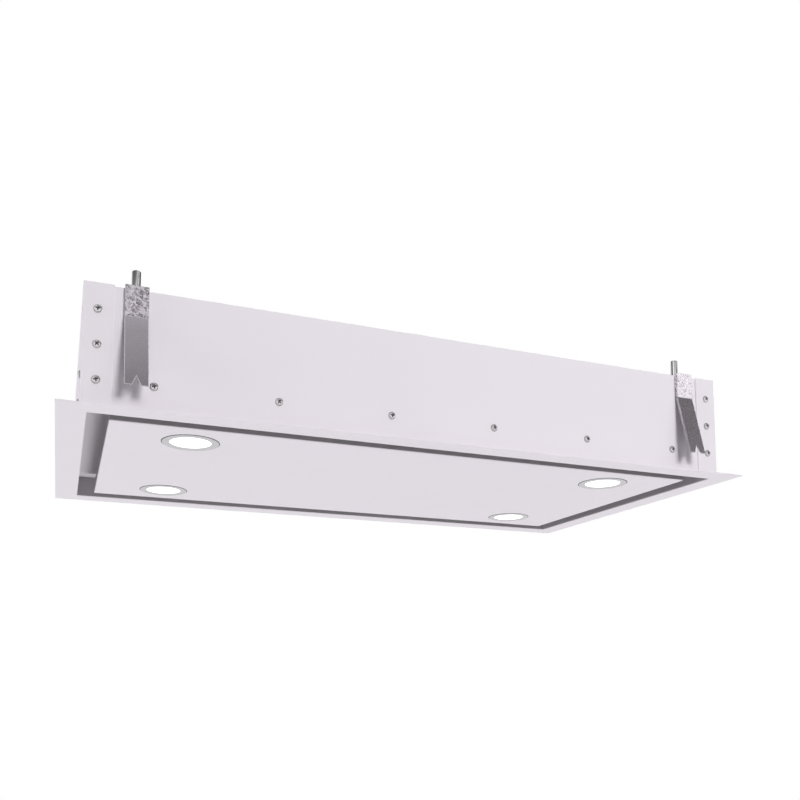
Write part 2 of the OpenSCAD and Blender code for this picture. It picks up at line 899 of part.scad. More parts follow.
// Room for the latch's slider, open to below, for its wings and for its bolt towards the front
module latch_pocket(mid) {
    foot = latch_w / 2 - latch_wing + face_clear;
    wing = latch_w / 2 + face_clear;
    bolt = latch_bolt_w / 2 + face_clear;
    y0 = latch_front - face_clear;
    y1 = latch_back + latch_travel + face_clear;
    block(mid - foot, y0, filter_z - cut_over, mid + foot, y1, latch_top + face_clear);
    block(mid - wing, y0, latch_bolt_z - face_clear, mid + wing, y1, latch_top + face_clear);
    block(mid - bolt, -filter_y - cut_over, latch_bolt_z - face_clear, mid + bolt, latch_back,
        latch_top + face_clear);
}

module filter_latch(side) {
    mid = side * filter_mid;
    foot = latch_w / 2 - latch_wing;
    grip = foot - latch_grip_t;
    color(black_plastic) difference() {
        union() {
            block(mid - foot, latch_front, filter_z, mid + foot, latch_back, latch_top);
            block(mid - latch_w / 2, latch_front, latch_bolt_z, mid + latch_w / 2, latch_back, latch_top);
            block(mid - latch_bolt_w / 2, -filter_y - latch_bolt_over, latch_bolt_z,
                mid + latch_bolt_w / 2, latch_back, latch_top);
        }
        block(mid - grip, latch_front + latch_grip_t, filter_z - cut_over,
            mid + grip, latch_back - latch_grip_t, latch_bolt_z);
    }
}

module filter_frame_left() {
    filter_frame(-1);
}

module filter_frame_right() {
    filter_frame(1);
}

module filter_latch_left() {
    filter_latch(-1);
}

module filter_latch_right() {
    filter_latch(1);
}

module filter_meshes() {
    half = (filter_out - filter_in) / 2 - filter_bar;
    color(aluminium) for (s = [-1, 1])
        translate([s * filter_mid, 0, 0]) difference() {
            slab(half, filter_y - filter_bar, mesh_z, mesh_z + mesh_t);
            block(-latch_block_w / 2, -filter_y, mesh_z - cut_over,
                latch_block_w / 2, latch_block_l - filter_y, mesh_z + mesh_t + cut_over);
        }
}

// Blower

function spiral_r(a) = spiral_r0 + scroll_growth * (a - tongue_angle) / (360 - tongue_angle);

function spiral_points(extra) = [for (i = [0 : spiral_steps])
    let(a = tongue_angle + (360 - tongue_angle) * i / spiral_steps)
        [blower_x + (spiral_r(a) + extra) * cos(a), blower_y + (spiral_r(a) + extra) * sin(a)]];

module scroll_outline(extra, reach) {
    polygon(concat(spiral_points(extra),
        [[outlet_right + extra, reach], [outlet_left - extra, reach]]));
}

module scroll_housing() {
    color(zinc) difference() {
        translate([0, 0, scroll_floor]) linear_extrude(height = scroll_top - scroll_floor)
            scroll_outline(scroll_t, inner_y);
        translate([0, 0, scroll_floor - cut_over])
            linear_extrude(height = scroll_roof - scroll_floor + cut_over)
                scroll_outline(0, inner_y + cut_over);
    }
}

module inlet_plate() {
    color(zinc) difference() {
        union() {
            translate([0, 0, scroll_z]) linear_extrude(height = scroll_t) scroll_outline(scroll_t, inner_y);
            translate([blower_x, blower_y, 0])
                disc(inlet_r + inlet_lip_t, scroll_z, impeller_z - slide_clear);
        }
        translate([blower_x, blower_y, 0]) disc(inlet_r, scroll_z - cut_over, impeller_z + cut_over);
    }
}

module rubber_mounts() {
    color(rubber_grey) for (sx = [-1, 1], sy = [-1, 1])
        translate([blower_x + sx * mount_spread * cos(45), blower_y + sy * mount_spread * sin(45), 0])
            disc(mount_r, scroll_top, ceiling_z);
}

module at_blower() {
    translate([blower_x, blower_y, 0]) children();
}

function blade_point(t, s) = let(r = blade_r0 + (blade_r1 - blade_r0) * t, a = blade_sweep * t * t)
    [r * cos(a) - s * blade_t / 2 * sin(a), r * sin(a) + s * blade_t / 2 * cos(a)];

module impeller() {
    color(aluminium) at_blower() {
        difference() {
            union() {
                disc(impeller_r, impeller_top - back_t, impeller_top);
                disc(cup_r + cup_t, cup_z - cup_t, impeller_top);
                disc(hub_r, cup_z - hub_h, cup_z);
            }
            disc(cup_r, cup_z, impeller_top + cut_over);
            disc(shaft_r + run_clear, cup_z - hub_h - cut_over, cup_z + cut_over);
        }
        tube(impeller_r, blade_r0 - ring_t / 2, impeller_z, impeller_z + ring_t);
        for (i = [0 : blades - 1])
            rotate([0, 0, 360 * i / blades]) translate([0, 0, impeller_z + ring_t / 2])
                linear_extrude(height = impeller_top - impeller_z - ring_t / 2 - back_t / 2)
                    polygon(concat([for (k = [0 : blade_steps]) blade_point(k / blade_steps, -1)],
                        [for (k = [0 : blade_steps]) blade_point(1 - k / blade_steps, 1)]));
    }
}

module motor_housing() {
    color(bright_steel) at_blower() difference() {
        disc(motor_r, motor_z, lid_z);
        disc(motor_r - motor_wall, motor_z + seat_h + motor_wall, lid_z + cut_over);
        disc(bearing_r + run_clear, motor_z + motor_wall, lid_z);
        disc(shaft_r + slide_clear, motor_z - cut_over, lid_z);
    }
}

module motor_lid() {
    color(bright_steel) at_blower() {
        disc(motor_r, lid_z, scroll_roof);
        tube(bearing_r + seat_t, bearing_r + run_clear, lid_z - bearing_h, lid_z);
    }
}

module motor_bearings() {
    color(dark_steel) at_blower() {
        tube(bearing_r, shaft_r + run_clear, motor_z + motor_wall, motor_z + motor_wall + bearing_h);
        tube(bearing_r, shaft_r + run_clear, lid_z - bearing_h, lid_z);
    }
}

module motor_stator() {
    out_r = motor_r - motor_wall - run_clear;
    color(copper) at_blower() tube(out_r, out_r - stator_t, core_z, core_z + core_h);
}

module rotor_shaft() {
    core_r = motor_r - motor_wall - run_clear - stator_t - air_gap;
    color(dark_steel) at_blower() {
        disc(shaft_r, cup_z - hub_h, lid_z - face_clear);
        disc(core_r, core_z, core_z + core_h);
    }
}

module motor_capacitor() {
    color(black_plastic) translate([capacitor_x, capacitor_y, ceiling_z - capacitor_r - capacitor_strap_t]) {
        rod_x(capacitor_r, -capacitor_l / 2, capacitor_l / 2);
        block(-capacitor_strap_w / 2, -capacitor_r - capacitor_strap_t, 0,
            capacitor_strap_w / 2, capacitor_r + capacitor_strap_t, capacitor_r + capacitor_strap_t);
    }
}

// Duct collar with two flaps that fold back together on one upright pin

module duct_collar() {
    half_w = collar_w / 2;
    half_h = collar_h / 2;
    wing = screw_head_d + 2 * collar_ledge;
    color(zinc) difference() {
        translate([collar_x, 0, collar_z]) {
            block(-half_w - wing, front_y, -half_h - collar_rim, half_w + wing, collar_wall_y,
                half_h + collar_rim);
            difference() {
                block(-half_w, front_y, -half_h, half_w, collar_wall_y + collar_l, half_h);
                block(collar_t - half_w, collar_wall_y, collar_t - half_h, half_w - collar_t,
                    collar_wall_y + collar_l + cut_over, half_h - collar_t);
            }
        }
        outlet_cut();
        collar_places() screw_hole();
        at_flap_pin() disc(flap_pin_r + run_clear, -half_h - cut_over, half_h + cut_over);
    }
}

module at_flap_pin() {
    translate([collar_x, flap_axis_y, collar_z]) children();
}

module damper_pin() {
    color(bright_steel) at_flap_pin() disc(flap_pin_r, -collar_h / 2, collar_h / 2);
}

// One flap has its knuckles at the pin's ends, the other in its middle
module damper_flap(side) {
    knuckle_z = flap_knuckle_share * flap_half_z;
    near_x = flap_knuckle_r + face_clear;
    face_y = face_clear + collar_wall_y - flap_axis_y;
    color(aluminium) at_flap_pin() difference() {
        union() {
            block(min(side * near_x, side * flap_end), face_y, -flap_half_z,
                max(side * near_x, side * flap_end), face_y + flap_t, flap_half_z);
            if (side < 0)
                flap_knuckle(side, near_x, face_y, -knuckle_z, knuckle_z);
            else
                for (s = [-1, 1])
                    flap_knuckle(side, near_x, face_y, min(s * flap_half_z, s * (knuckle_z + face_clear)),
                        max(s * flap_half_z, s * (knuckle_z + face_clear)));
        }
        disc(flap_pin_r + run_clear, -collar_h, collar_h);
    }
}

module flap_knuckle(side, near_x, face_y, z0, z1) {
    disc(flap_knuckle_r, z0, z1);
    block(min(0, side * near_x), face_y, z0, max(0, side * near_x), face_y + flap_t, z1);
}

module damper_flap_left() {
    damper_flap(-1);
}

module damper_flap_right() {
    damper_flap(1);
}

// Electrics

module control_box() {
    color(black_plastic) translate([control_x, control_y, 0]) difference() {
        block(0, 0, ceiling_z - control_h, control_w, control_l, ceiling_z);
        block(control_wall, control_wall, ceiling_z - control_h + control_wall,
            control_w - control_wall, control_l - control_wall, ceiling_z + cut_over);
    }
}

module control_board() {
    board_z = ceiling_z - control_h + control_wall + board_rise;
    post = 2 * control_wall;
    color(board_green) translate([control_x, control_y, 0]) {
        block(control_wall + face_clear, control_wall + face_clear, board_z,
            control_w - control_wall - face_clear, control_l - control_wall - face_clear, board_z + board_t);
        for (sx = [0, 1], sy = [0, 1])
            translate([post + sx * (control_w - 3 * post), post + sy * (control_l - 3 * post), 0])
                block(0, 0, ceiling_z - control_h + control_wall, post, post, board_z);
        block(control_w / 4, control_l / 4, board_z, control_w / 2, control_l / 2, board_z + 2 * board_rise);
    }
}

module lamp_driver() {
    color(white_paint) translate([driver_x, driver_y, 0])
        block(0, 0, ceiling_z - driver_h, driver_l, driver_w, ceiling_z);
}

module cable_gland() {
    color(black_plastic) translate([gland_x, front_y, gland_z]) rotate([-90, 0, 0]) difference() {
        union() {
            disc(gland_thread_r, -sheet_t - gland_in, gland_out);
            disc(gland_r, 0, gland_out);
            rotate([0, 0, 30]) disc6(gland_nut_r, 0, gland_nut_h);
            rotate([0, 0, 30]) disc6(gland_nut_r, -sheet_t - gland_nut_h, -sheet_t);
        }
        disc(gland_bore / 2, -sheet_t - gland_in - cut_over, gland_out + cut_over);
    }
}

module disc6(r, z0, z1) {
    translate([0, 0, z0]) cylinder(h = z1 - z0, r = r, $fn = 6);
}

// Leads from the control box to the motor and the lamp driver, from the capacitor to the motor,
// and from the lamp driver down to the hinge axis
module inner_leads() {
    box_x = control_x + control_w;
    driver_mid_y = driver_y + driver_w / 2;
    cap_z = ceiling_z - capacitor_r - capacitor_strap_t;
    color(lead_grey) {
        lead([[box_x, motor_lead_y, roof_lead_z], [motor_lead_x, motor_lead_y, roof_lead_z]],
            lead_r, lead_bend);
        lead([[box_x, feed_y, box_lead_z], [feed_x, feed_y, box_lead_z], [feed_x, driver_mid_y, box_lead_z],
            [driver_x, driver_mid_y, box_lead_z]], lead_r, lead_bend);
        lead([[capacitor_x - capacitor_l / 2, capacitor_y, cap_z], [capacitor_turn_x, capacitor_y, cap_z],
            [capacitor_turn_x, capacitor_y, roof_lead_z], [capacitor_lead_x, capacitor_y, roof_lead_z]],
            lead_r, lead_bend);
        lead([[driver_x + driver_l, driver_mid_y, box_lead_z], [grommet_x, driver_mid_y, box_lead_z],
            [grommet_x, hinge_axis_y, box_lead_z], [grommet_x, hinge_axis_y, hinge_axis_z],
            [meet_x + face_clear, hinge_axis_y, hinge_axis_z]], lead_r, lead_bend);
    }
}

module panel_wiring() {
    reach_y = lamp_y - neck_out_r - wire_clear;
    color(lead_grey) {
        for (s = [-1, 1])
            lead([[s * lamp_x, -reach_y, wire_z], [s * lamp_x, reach_y, wire_z]], lead_r, lead_bend);
        lead([[-lamp_x, 0, wire_z], [lamp_x, 0, wire_z]], lead_r, lead_bend);
        lead([[rise_x, 0, wire_z], [rise_x, rise_y, wire_z], [rise_x, rise_y, hinge_axis_z],
            [rise_x, hinge_axis_y, hinge_axis_z], [meet_x, hinge_axis_y, hinge_axis_z]], lead_r, lead_bend);
    }
}

// Clamps

module clamp_place(sx, sy) {
    translate([sx * clamp_x, 0, 0]) rotate([0, 0, sy > 0 ? 180 : 0]) children();
}

module clamp_rod() {
    head_z = deck_z - face_clear - rod_head_h;
    color(bright_steel) translate([0, rod_y, 0]) difference() {
        union() {
            disc(rod_r, head_z, rod_top - rod_chamfer);
            translate([0, 0, rod_top - rod_chamfer])
                cylinder(h = rod_chamfer, r1 = rod_r, r2 = rod_r - rod_chamfer);
            disc(rod_head_r, head_z, head_z + rod_head_h);
            disc(rod_clip_r, deck_top + face_clear, deck_top + face_clear + rod_clip_t);
        }
        disc6(rod_socket_r, head_z - cut_over, head_z + rod_socket_h);
    }
}

module clamp_bracket() {
    half = clamp_w / 2;
    color(zinc) difference() {
        union() {
            block(-half, clamp_face, clamp_foot, half, clamp_face + clamp_t, clamp_top);
            for (s = [-1, 1])
                block(min(s * half, s * (half - clamp_t)), clamp_face, clamp_foot,
                    max(s * half, s * (half - clamp_t)), clamp_face + clamp_wing, clamp_top);
            block(-tab_w / 2, clamp_face, clamp_top - clamp_t, tab_w / 2, rod_y + tab_over, clamp_top);
            translate([0, rod_y, 0]) disc(boss_r, clamp_top - clamp_t - boss_h, clamp_top);
        }
        translate([0, rod_y, 0]) disc(rod_r + run_clear, clamp_foot, clamp_top + cut_over);
        translate([0, leaf_pin_y, leaf_pin_z]) rod_x(leaf_pin_r + run_clear, -clamp_w, clamp_w);
    }
}

module clamp_leaf() {
    half = clamp_w / 2;
    ear_out = half - clamp_t - face_clear;
    color(dark_steel) translate([0, leaf_pin_y, leaf_pin_z]) rotate([-leaf_lean, 0, 0]) {
        difference() {
            union() {
                block(-half, -leaf_set, -leaf_drop - leaf_l, half, leaf_t - leaf_set, -leaf_drop);
                for (s = [-1, 1])
                    block(min(s * half, s * (half - leaf_t)), -leaf_set, leaf_wing_end - leaf_drop - leaf_l,
                        max(s * half, s * (half - leaf_t)), leaf_wing - leaf_set, -leaf_drop);
            }
            leaf_notch();
        }
        for (s = [-1, 1]) {
            block(min(s * ear_out, s * (ear_out - leaf_ear_t)), -leaf_ear_r, -leaf_ear_l,
                max(s * ear_out, s * (ear_out - leaf_ear_t)), leaf_ear_r, 0);
            block(min(s * ear_out, s * (ear_out - leaf_ear_t)), -leaf_set, -leaf_ear_l,
                max(s * ear_out, s * (ear_out - leaf_ear_t)), leaf_ear_r, -leaf_drop);
            leaf_eye(s, ear_out);
        }
        rod_x(leaf_pin_r, -half, half);
    }
}

module leaf_eye(s, ear_out) {
    rod_x(leaf_ear_r, min(s * ear_out, s * (ear_out - leaf_ear_t)),
        max(s * ear_out, s * (ear_out - leaf_ear_t)));
}

module leaf_notch() {
    translate([0, cut_over, -leaf_drop - leaf_l]) rotate([90, 0, 0])
        linear_extrude(height = leaf_set + 2 * cut_over)
            polygon([[-leaf_notch_w / 2, 0], [0, leaf_notch_h], [leaf_notch_w / 2, 0], [0, -leaf_notch_h]]);
}

trim_frame();
front_panel();
back_panel();
left_panel();
right_panel();
top_panel();
filter_deck();
corner_braces();
corner_screws();
deck_screws();
small_screws();
hinge_brackets();
hinge_pins();
hinge_arms();
magnet_catches();
strike_plates();
suction_panel();
panel_cover();
panel_wiring();
lamp_bezels();
lamp_lenses();
lamp_bodies();
lamp_clips();
filter_frame_left();
filter_frame_right();
filter_meshes();
filter_latch_left();
filter_latch_right();
scroll_housing();
inlet_plate();
rubber_mounts();
motor_housing();
motor_lid();
motor_stator();
motor_bearings();
rotor_shaft();
impeller();
motor_capacitor();
duct_collar();
damper_pin();
damper_flap_left();
damper_flap_right();
control_box();
control_board();
lamp_driver();
cable_gland();
inner_leads();
clamp_place(-1, -1) clamp_rod();  // clamp_rod_front_left
clamp_place(1, -1) clamp_rod();  // clamp_rod_front_right
clamp_place(-1, 1) clamp_rod();  // clamp_rod_back_left
clamp_place(1, 1) clamp_rod();  // clamp_rod_back_right
clamp_place(-1, -1) clamp_bracket();  // clamp_bracket_front_left
clamp_place(1, -1) clamp_bracket();  // clamp_bracket_front_right
clamp_place(-1, 1) clamp_bracket();  // clamp_bracket_back_left
clamp_place(1, 1) clamp_bracket();  // clamp_bracket_back_right
clamp_place(-1, -1) clamp_leaf();  // clamp_leaf_front_left
clamp_place(1, -1) clamp_leaf();  // clamp_leaf_front_right
clamp_place(-1, 1) clamp_leaf();  // clamp_leaf_back_left
clamp_place(1, 1) clamp_leaf();  // clamp_leaf_back_right
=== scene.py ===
"""Sheet metal, fixings, lamps, finishes and light for a ceiling range hood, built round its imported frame."""

import json
import math

import bmesh
import bpy
from bpy.props import FloatProperty, FloatVectorProperty, IntProperty, PointerProperty
from bpy.types import Operator, Panel, PropertyGroup
from mathutils import Matrix, Vector

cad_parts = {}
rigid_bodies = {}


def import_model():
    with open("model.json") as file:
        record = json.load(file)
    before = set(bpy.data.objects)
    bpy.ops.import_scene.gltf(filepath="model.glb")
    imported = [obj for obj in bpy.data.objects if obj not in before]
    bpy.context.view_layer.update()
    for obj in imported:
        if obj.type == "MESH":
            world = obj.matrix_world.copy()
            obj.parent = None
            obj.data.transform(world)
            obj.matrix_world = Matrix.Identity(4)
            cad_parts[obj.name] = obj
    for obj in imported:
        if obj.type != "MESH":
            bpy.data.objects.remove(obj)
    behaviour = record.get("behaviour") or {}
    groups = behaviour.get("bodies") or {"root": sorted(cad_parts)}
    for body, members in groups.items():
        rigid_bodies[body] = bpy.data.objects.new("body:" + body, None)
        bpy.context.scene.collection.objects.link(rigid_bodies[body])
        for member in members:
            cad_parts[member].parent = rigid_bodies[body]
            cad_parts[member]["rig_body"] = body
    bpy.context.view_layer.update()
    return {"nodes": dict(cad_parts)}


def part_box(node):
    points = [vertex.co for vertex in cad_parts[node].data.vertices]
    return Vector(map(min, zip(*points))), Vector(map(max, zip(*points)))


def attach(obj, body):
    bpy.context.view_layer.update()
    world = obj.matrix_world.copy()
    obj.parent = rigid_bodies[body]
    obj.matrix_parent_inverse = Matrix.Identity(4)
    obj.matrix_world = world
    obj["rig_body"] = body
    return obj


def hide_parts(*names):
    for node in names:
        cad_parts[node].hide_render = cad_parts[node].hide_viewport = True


bl_info = {
    "name": "Ceiling hood dressing",
    "version": (1, 0, 0),
    "blender": (4, 5, 0),
    "location": "View3D > Sidebar > Ceiling hood",
    "description": "Builds the hood's sheet metal, fixings, lamps and finishes round its packed frame",
    "category": "Object",
}

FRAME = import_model()
MM = 0.001
CORNERS = ((-1, -1), (1, -1), (1, 1), (-1, 1))
ENDS = ("front_left", "front_right", "back_left", "back_right")
WHITE = (1.0, 1.0, 1.0, 1.0)
MERGE = 0.001 * MM  # corners nearer than this are one
CAD_MERGE = 0.002 * MM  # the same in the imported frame
FLAT = math.radians(0.6)  # faces that turn by less than this are one
FOLD = math.radians(38)  # edges that turn by more than this are rounded
LEAST = 2.5  # how many times its rounding's width an edge has to be long
BROAD = 3e-4  # the area in square metres from which a face is broad


def length(name, description, default):
    """A size in metres, given in millimetres."""
    shown = {"subtype": "DISTANCE", "unit": "LENGTH", "precision": 5}
    return FloatProperty(name=name, description=description, default=default * MM, min=0.0, **shown)


def colour(name, description, default):
    """A linear colour."""
    shown = {"size": 3, "min": 0.0, "max": 1.0, "subtype": "COLOR"}
    return FloatVectorProperty(name=name, description=description, default=default, **shown)


def strength(name, description, default, high):
    """The power or strength of a light."""
    return FloatProperty(name=name, description=description, default=default, min=0.0, max=high)


class HoodSizes(PropertyGroup):
    """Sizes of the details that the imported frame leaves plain."""

    fold_radius: length("Fold radius", "Outer radius of the painted sheets' visible folds", 1.3)
    sheet_edge: length("Sheet edge", "Rounding of a cut sheet's edges", 0.25)
    screw_dome: length("Screw dome", "Radius of the raised part of a screw head", 3.9)
    screw_flange: length("Screw flange", "Thickness of the washer under a screw head", 0.8)
    recess_arm: length("Recess arm", "Half the length of a screw's cross recess", 2.5)
    recess_half: length("Recess half width", "Half the width of a screw's cross recess", 0.7)
    recess_depth: length("Recess depth", "Depth of a screw's cross recess", 1.9)
    lens_dome: length("Lens dome", "How far a lamp lens bulges", 0.45)
    mesh_pitch: length("Mesh pitch", "Length of a diamond in the expanded filter mesh", 9.0)
    mesh_strand: length("Mesh strand", "Width of a strand of the filter mesh", 0.9)
    rib_half: length("Rib half width", "Half the width of the top panel's stiffening ribs", 6.0)


class HoodColours(PropertyGroup):
    """Linear colours of the hood's finishes."""

    paint: colour("White paint", "Powder coat of the sheet metal", (0.785, 0.745, 0.795))
    zinc: colour("Zinc sheet", "Galvanised sheet of the inner parts", (0.56, 0.57, 0.59))
    screw: colour("Screw zinc", "Plated screws", (0.72, 0.70, 0.72))
    bright: colour("Bright steel", "Plated steel fittings", (0.62, 0.62, 0.64))
    dark: colour("Dark steel", "Blackened and oiled steel", (0.10, 0.10, 0.11))
    leaf: colour("Spring leaf", "Hardened spring steel of the clamp leaves", (0.56, 0.52, 0.57))
    galvanised: colour("Clamp bracket", "Spangled zinc of the clamp brackets", (0.52, 0.485, 0.53))
    rod: colour("Clamp rod", "Bright steel of the clamp rods", (0.42, 0.41, 0.42))
    aluminium: colour("Aluminium", "Frames, flaps and lamp bodies", (0.66, 0.66, 0.67))
    bezel: colour("Lamp bezel", "Satin rings round the lamps", (0.52, 0.505, 0.525))
    plastic: colour("Black plastic", "Moulded electrical parts", (0.022, 0.022, 0.024))
    rubber: colour("Rubber", "Blower mounts", (0.035, 0.035, 0.036))
    lead: colour("Lead", "Sheath of the leads", (0.30, 0.30, 0.31))
    winding: colour("Winding", "Copper of the motor winding", (0.62, 0.25, 0.10))
    board: colour("Circuit board", "Solder mask of the control board", (0.03, 0.16, 0.07))
    case: colour("Driver case", "Moulded case of the lamp driver", (0.66, 0.66, 0.67))
    glow: colour("Lamp glow", "Light of the lamp lenses", (1.0, 0.99, 1.0))


class HoodStage(PropertyGroup):
    """Camera, floor and light."""

    camera_at: FloatVectorProperty(
        name="Camera place",
        description="Where the camera stands",
        default=(-0.4394, -1.1425, -0.2824),
        size=3,
        subtype="TRANSLATION",
        unit="LENGTH",
    )
    yaw: FloatProperty(
        name="Yaw", description="Turn of the camera to the right", default=math.radians(20.98), subtype="ANGLE"
    )
    pitch: FloatProperty(
        name="Pitch", description="Upward tilt of the camera", default=math.radians(5.35), subtype="ANGLE"
    )
    lens: FloatProperty(name="Lens", description="Focal length on a 36 mm frame", default=37.67, min=1.0)
    shift_x: FloatProperty(name="Shift X", description="Sideways shift of the lens", default=0.027)
    shift_y: FloatProperty(name="Shift Y", description="Upward shift of the lens", default=0.25)
    floor_drop: length("Floor depth", "Height of the hood above the floor", 2200.0)
    floor_radius: length("Floor radius", "Radius of the floor", 5000.0)
    room_front: strength("Front room light", "Strength of the room's light from in front and below", 0.05, 4.0)
    room_back: strength("Back room light", "Strength of the room's light from behind and above", 0.85, 4.0)
    gloss_left: strength("Left ceiling in gloss", "How bright gloss shows the ceiling's left", 0.75, 4.0)
    gloss_right: strength("Right ceiling in gloss", "How bright gloss shows the ceiling's right", 0.16, 4.0)
    key: strength("Key light", "Power of the soft light in front and above, in watts", 48.5, 1000.0)
    front: strength("Front light", "Power of the level light in front, in watts", 3.0, 1000.0)
    side: strength("Right light", "Power of the wide light from the front right, in watts", 5.0, 1000.0)
    fill: strength("Left light", "Power of the wide light from the left, in watts", 26.0, 1000.0)
    lift: strength("Low light", "Strength of the wide light from below", 1.88, 20.0)
    floor_steps: IntProperty(name="Floor steps", description="Corners of the round floor", default=96, min=12)


# Finishes, each a shader tree that reads the object's own coordinates


def fill(tree, node, **inputs):
    """Sets or links a node's inputs, each by its name or by i and its number."""
    for key, value in inputs.items():
        numbered = key[0] == "i" and key[1:].isdigit()
        socket = node.inputs[int(key[1:]) if numbered else key.replace("_", " ")]
        if isinstance(value, bpy.types.NodeSocket):
            tree.links.new(value, socket)
        else:
            socket.default_value = value
    return node


def add(tree, kind, settings=None, **inputs):
    """Adds a node with its options and inputs."""
    node = tree.nodes.new(kind)
    for key, value in (settings or {}).items():
        setattr(node, key, value)
    return fill(tree, node, **inputs)


def begin(name):
    """A new material with its shader, and the object's coordinates in metres."""
    made = bpy.data.materials.new(name)
    made.use_nodes = True
    tree = made.node_tree
    tree.nodes.clear()
    out = tree.nodes.new("ShaderNodeOutputMaterial")
    shader = tree.nodes.new("ShaderNodeBsdfPrincipled")
    tree.links.new(shader.outputs[0], out.inputs["Surface"])
    place = tree.nodes.new("ShaderNodeTexCoord").outputs["Object"]
    return made, tree, shader, place


def noise(tree, place, scale, detail=3.0, roughness=0.5, output=0):
    """Noise with this many features a metre, as a value or as a colour."""
    made = add(tree, "ShaderNodeTexNoise", Vector=place, Scale=scale, Detail=detail, Roughness=roughness)
    return made.outputs[output]


def stretched(tree, place, scale):
    """Coordinates squeezed along each axis."""
    return add(tree, "ShaderNodeMapping", Vector=place, Scale=scale).outputs[0]


def ramp(tree, value, stops):
    """A colour ramp over (place, grey or colour) stops."""
    node = tree.nodes.new("ShaderNodeValToRGB")
    tree.links.new(value, node.inputs[0])
    points = node.color_ramp.elements
    while len(points) < len(stops):
        points.new(0.5)
    for point, (where, tone) in zip(points, stops):
        point.position = where
        point.color = (*tone, 1.0) if isinstance(tone, tuple) else (tone, tone, tone, 1.0)
    return node.outputs[0]


def mapped(tree, value, start, end, low, high, settings=None):
    """A value moved from one range to another."""
    ends = {"From_Min": start, "From_Max": end, "To_Min": low, "To_Max": high}
    return add(tree, "ShaderNodeMapRange", settings, Value=value, **ends).outputs[0]


def between(tree, value, low, high):
    """Maps noise about its middle to a range."""
    return mapped(tree, value, 0.3, 0.7, low, high)


def maths(tree, operation, *values):
    """One step of arithmetic on numbers or sockets."""
    inputs = {f"i{number}": value for number, value in enumerate(values)}
    return add(tree, "ShaderNodeMath", {"operation": operation}, **inputs).outputs[0]


def blended(tree, amount, low, high, kind="MIX"):
    """A mix of two colours."""
    settings = {"data_type": "RGBA", "blend_type": kind}
    return add(tree, "ShaderNodeMix", settings, i0=amount, i6=low, i7=high).outputs[2]


def either(tree, amount, first, second):
    """A mix of two shaders."""
    return add(tree, "ShaderNodeMixShader", i0=amount, i1=first, i2=second).outputs[0]


def mark(tree, name):
    """The number that the mesh holds under this name."""
    return add(tree, "ShaderNodeAttribute", {"attribute_name": name}).outputs["Fac"]


def scaled(tone, factor):
    """A colour made lighter or darker."""
    return tuple(min(1.0, c * factor) for c in tone)


def opaque(tone, factor=1.0):
    """A colour for a socket, made lighter or darker."""
    return (*scaled(tone, factor), 1.0)


def tinted(tree, value, tone, low, high):
    """The colour, varied between two factors by a value."""
    return ramp(tree, value, ((0.32, scaled(tone, low)), (0.68, scaled(tone, high))))


def dented(tree, shader, height, strength, distance):
    """Bump on the shader's normal."""
    bump = add(tree, "ShaderNodeBump", Height=height, Strength=strength, Distance=distance)
    tree.links.new(bump.outputs[0], shader.inputs["Normal"])


def painted(name, tone):
    """Powder coat with a faint orange peel, its gloss and tone drifting over the sheet, with painted shade:
    grey where the mesh marks the recess.
    """
    made, tree, shader, place = begin(name)
    drift = noise(tree, place, 5.0, 2.0)
    peel = noise(tree, place, 900.0, 2.0)
    speck = noise(tree, place, 2600.0, 1.0)
    both = maths(tree, "MULTIPLY_ADD", speck, 0.3, drift)
    shade = scaled(tone, 0.46)
    clean, painted_shade_coat = tinted(tree, both, tone, 0.985, 1.015), tinted(tree, both, shade, 0.94, 1.06)
    # Painted shade: the coat turns grey by the recess mark, standing in for the shade inside the slots
    coat = blended(tree, mark(tree, "recess"), clean, painted_shade_coat)
    fill(tree, shader, Base_Color=coat, Roughness=between(tree, drift, 0.54, 0.62), Specular_IOR_Level=0.09)
    dented(tree, shader, peel, 0.10, 0.0002)
    return made


def metal(name, tone, rough, grain, spread=0.08, bump=0.08, wander=0.18):
    """Bare metal, its grain drawn out along the axes where the grain's scale is low."""
    made, tree, shader, place = begin(name)
    lines = noise(tree, stretched(tree, place, grain), 1.0, 4.0, 0.6)
    cloud = noise(tree, place, 45.0)
    middle = maths(tree, "MULTIPLY", maths(tree, "MULTIPLY_ADD", lines, 0.6, cloud), 0.62)
    tint = tinted(tree, middle, tone, 1 - spread, 1 + spread)
    gloss = between(tree, lines, rough * (1 - wander), rough * (1 + wander))
    fill(tree, shader, Base_Color=tint, Roughness=gloss, Metallic=1.0)
    dented(tree, shader, lines, bump, 0.0001)
    return made


def recoloured(made, change):
    """Passes a finish's colour through a change."""
    tree = made.node_tree
    socket = next(n for n in tree.nodes if n.type == "BSDF_PRINCIPLED").inputs["Base Color"]
    tree.links.new(change(tree, socket.links[0].from_socket), socket)
    return made


def tempered(name, tone):
    """Hardened spring steel, with painted light: darker from its bend down to its tip as a painted reflection,
    and a painted highlight on the edges that the mesh marks.
    """
    low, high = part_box("clamp_leaf_" + ENDS[0])
    tip_shade, highlight_gain = 0.62, 1.7

    def change(tree, even):
        place = tree.nodes.new("ShaderNodeTexCoord").outputs["Object"]
        up = add(tree, "ShaderNodeSeparateXYZ", Vector=place).outputs["Z"]
        # Painted reflection: the colour darkens from the bend to the tip. Painted highlight: the marked edge
        # band turns light
        darker = blended(tree, 1.0, even, mapped(tree, up, low.z, high.z, tip_shade, 1.0), "MULTIPLY")
        return blended(tree, mark(tree, "worn"), darker, opaque(tone, highlight_gain))

    return recoloured(metal(name, tone, 0.27, (500.0, 500.0, 40.0), 0.06, 0.004, 0.03), change)


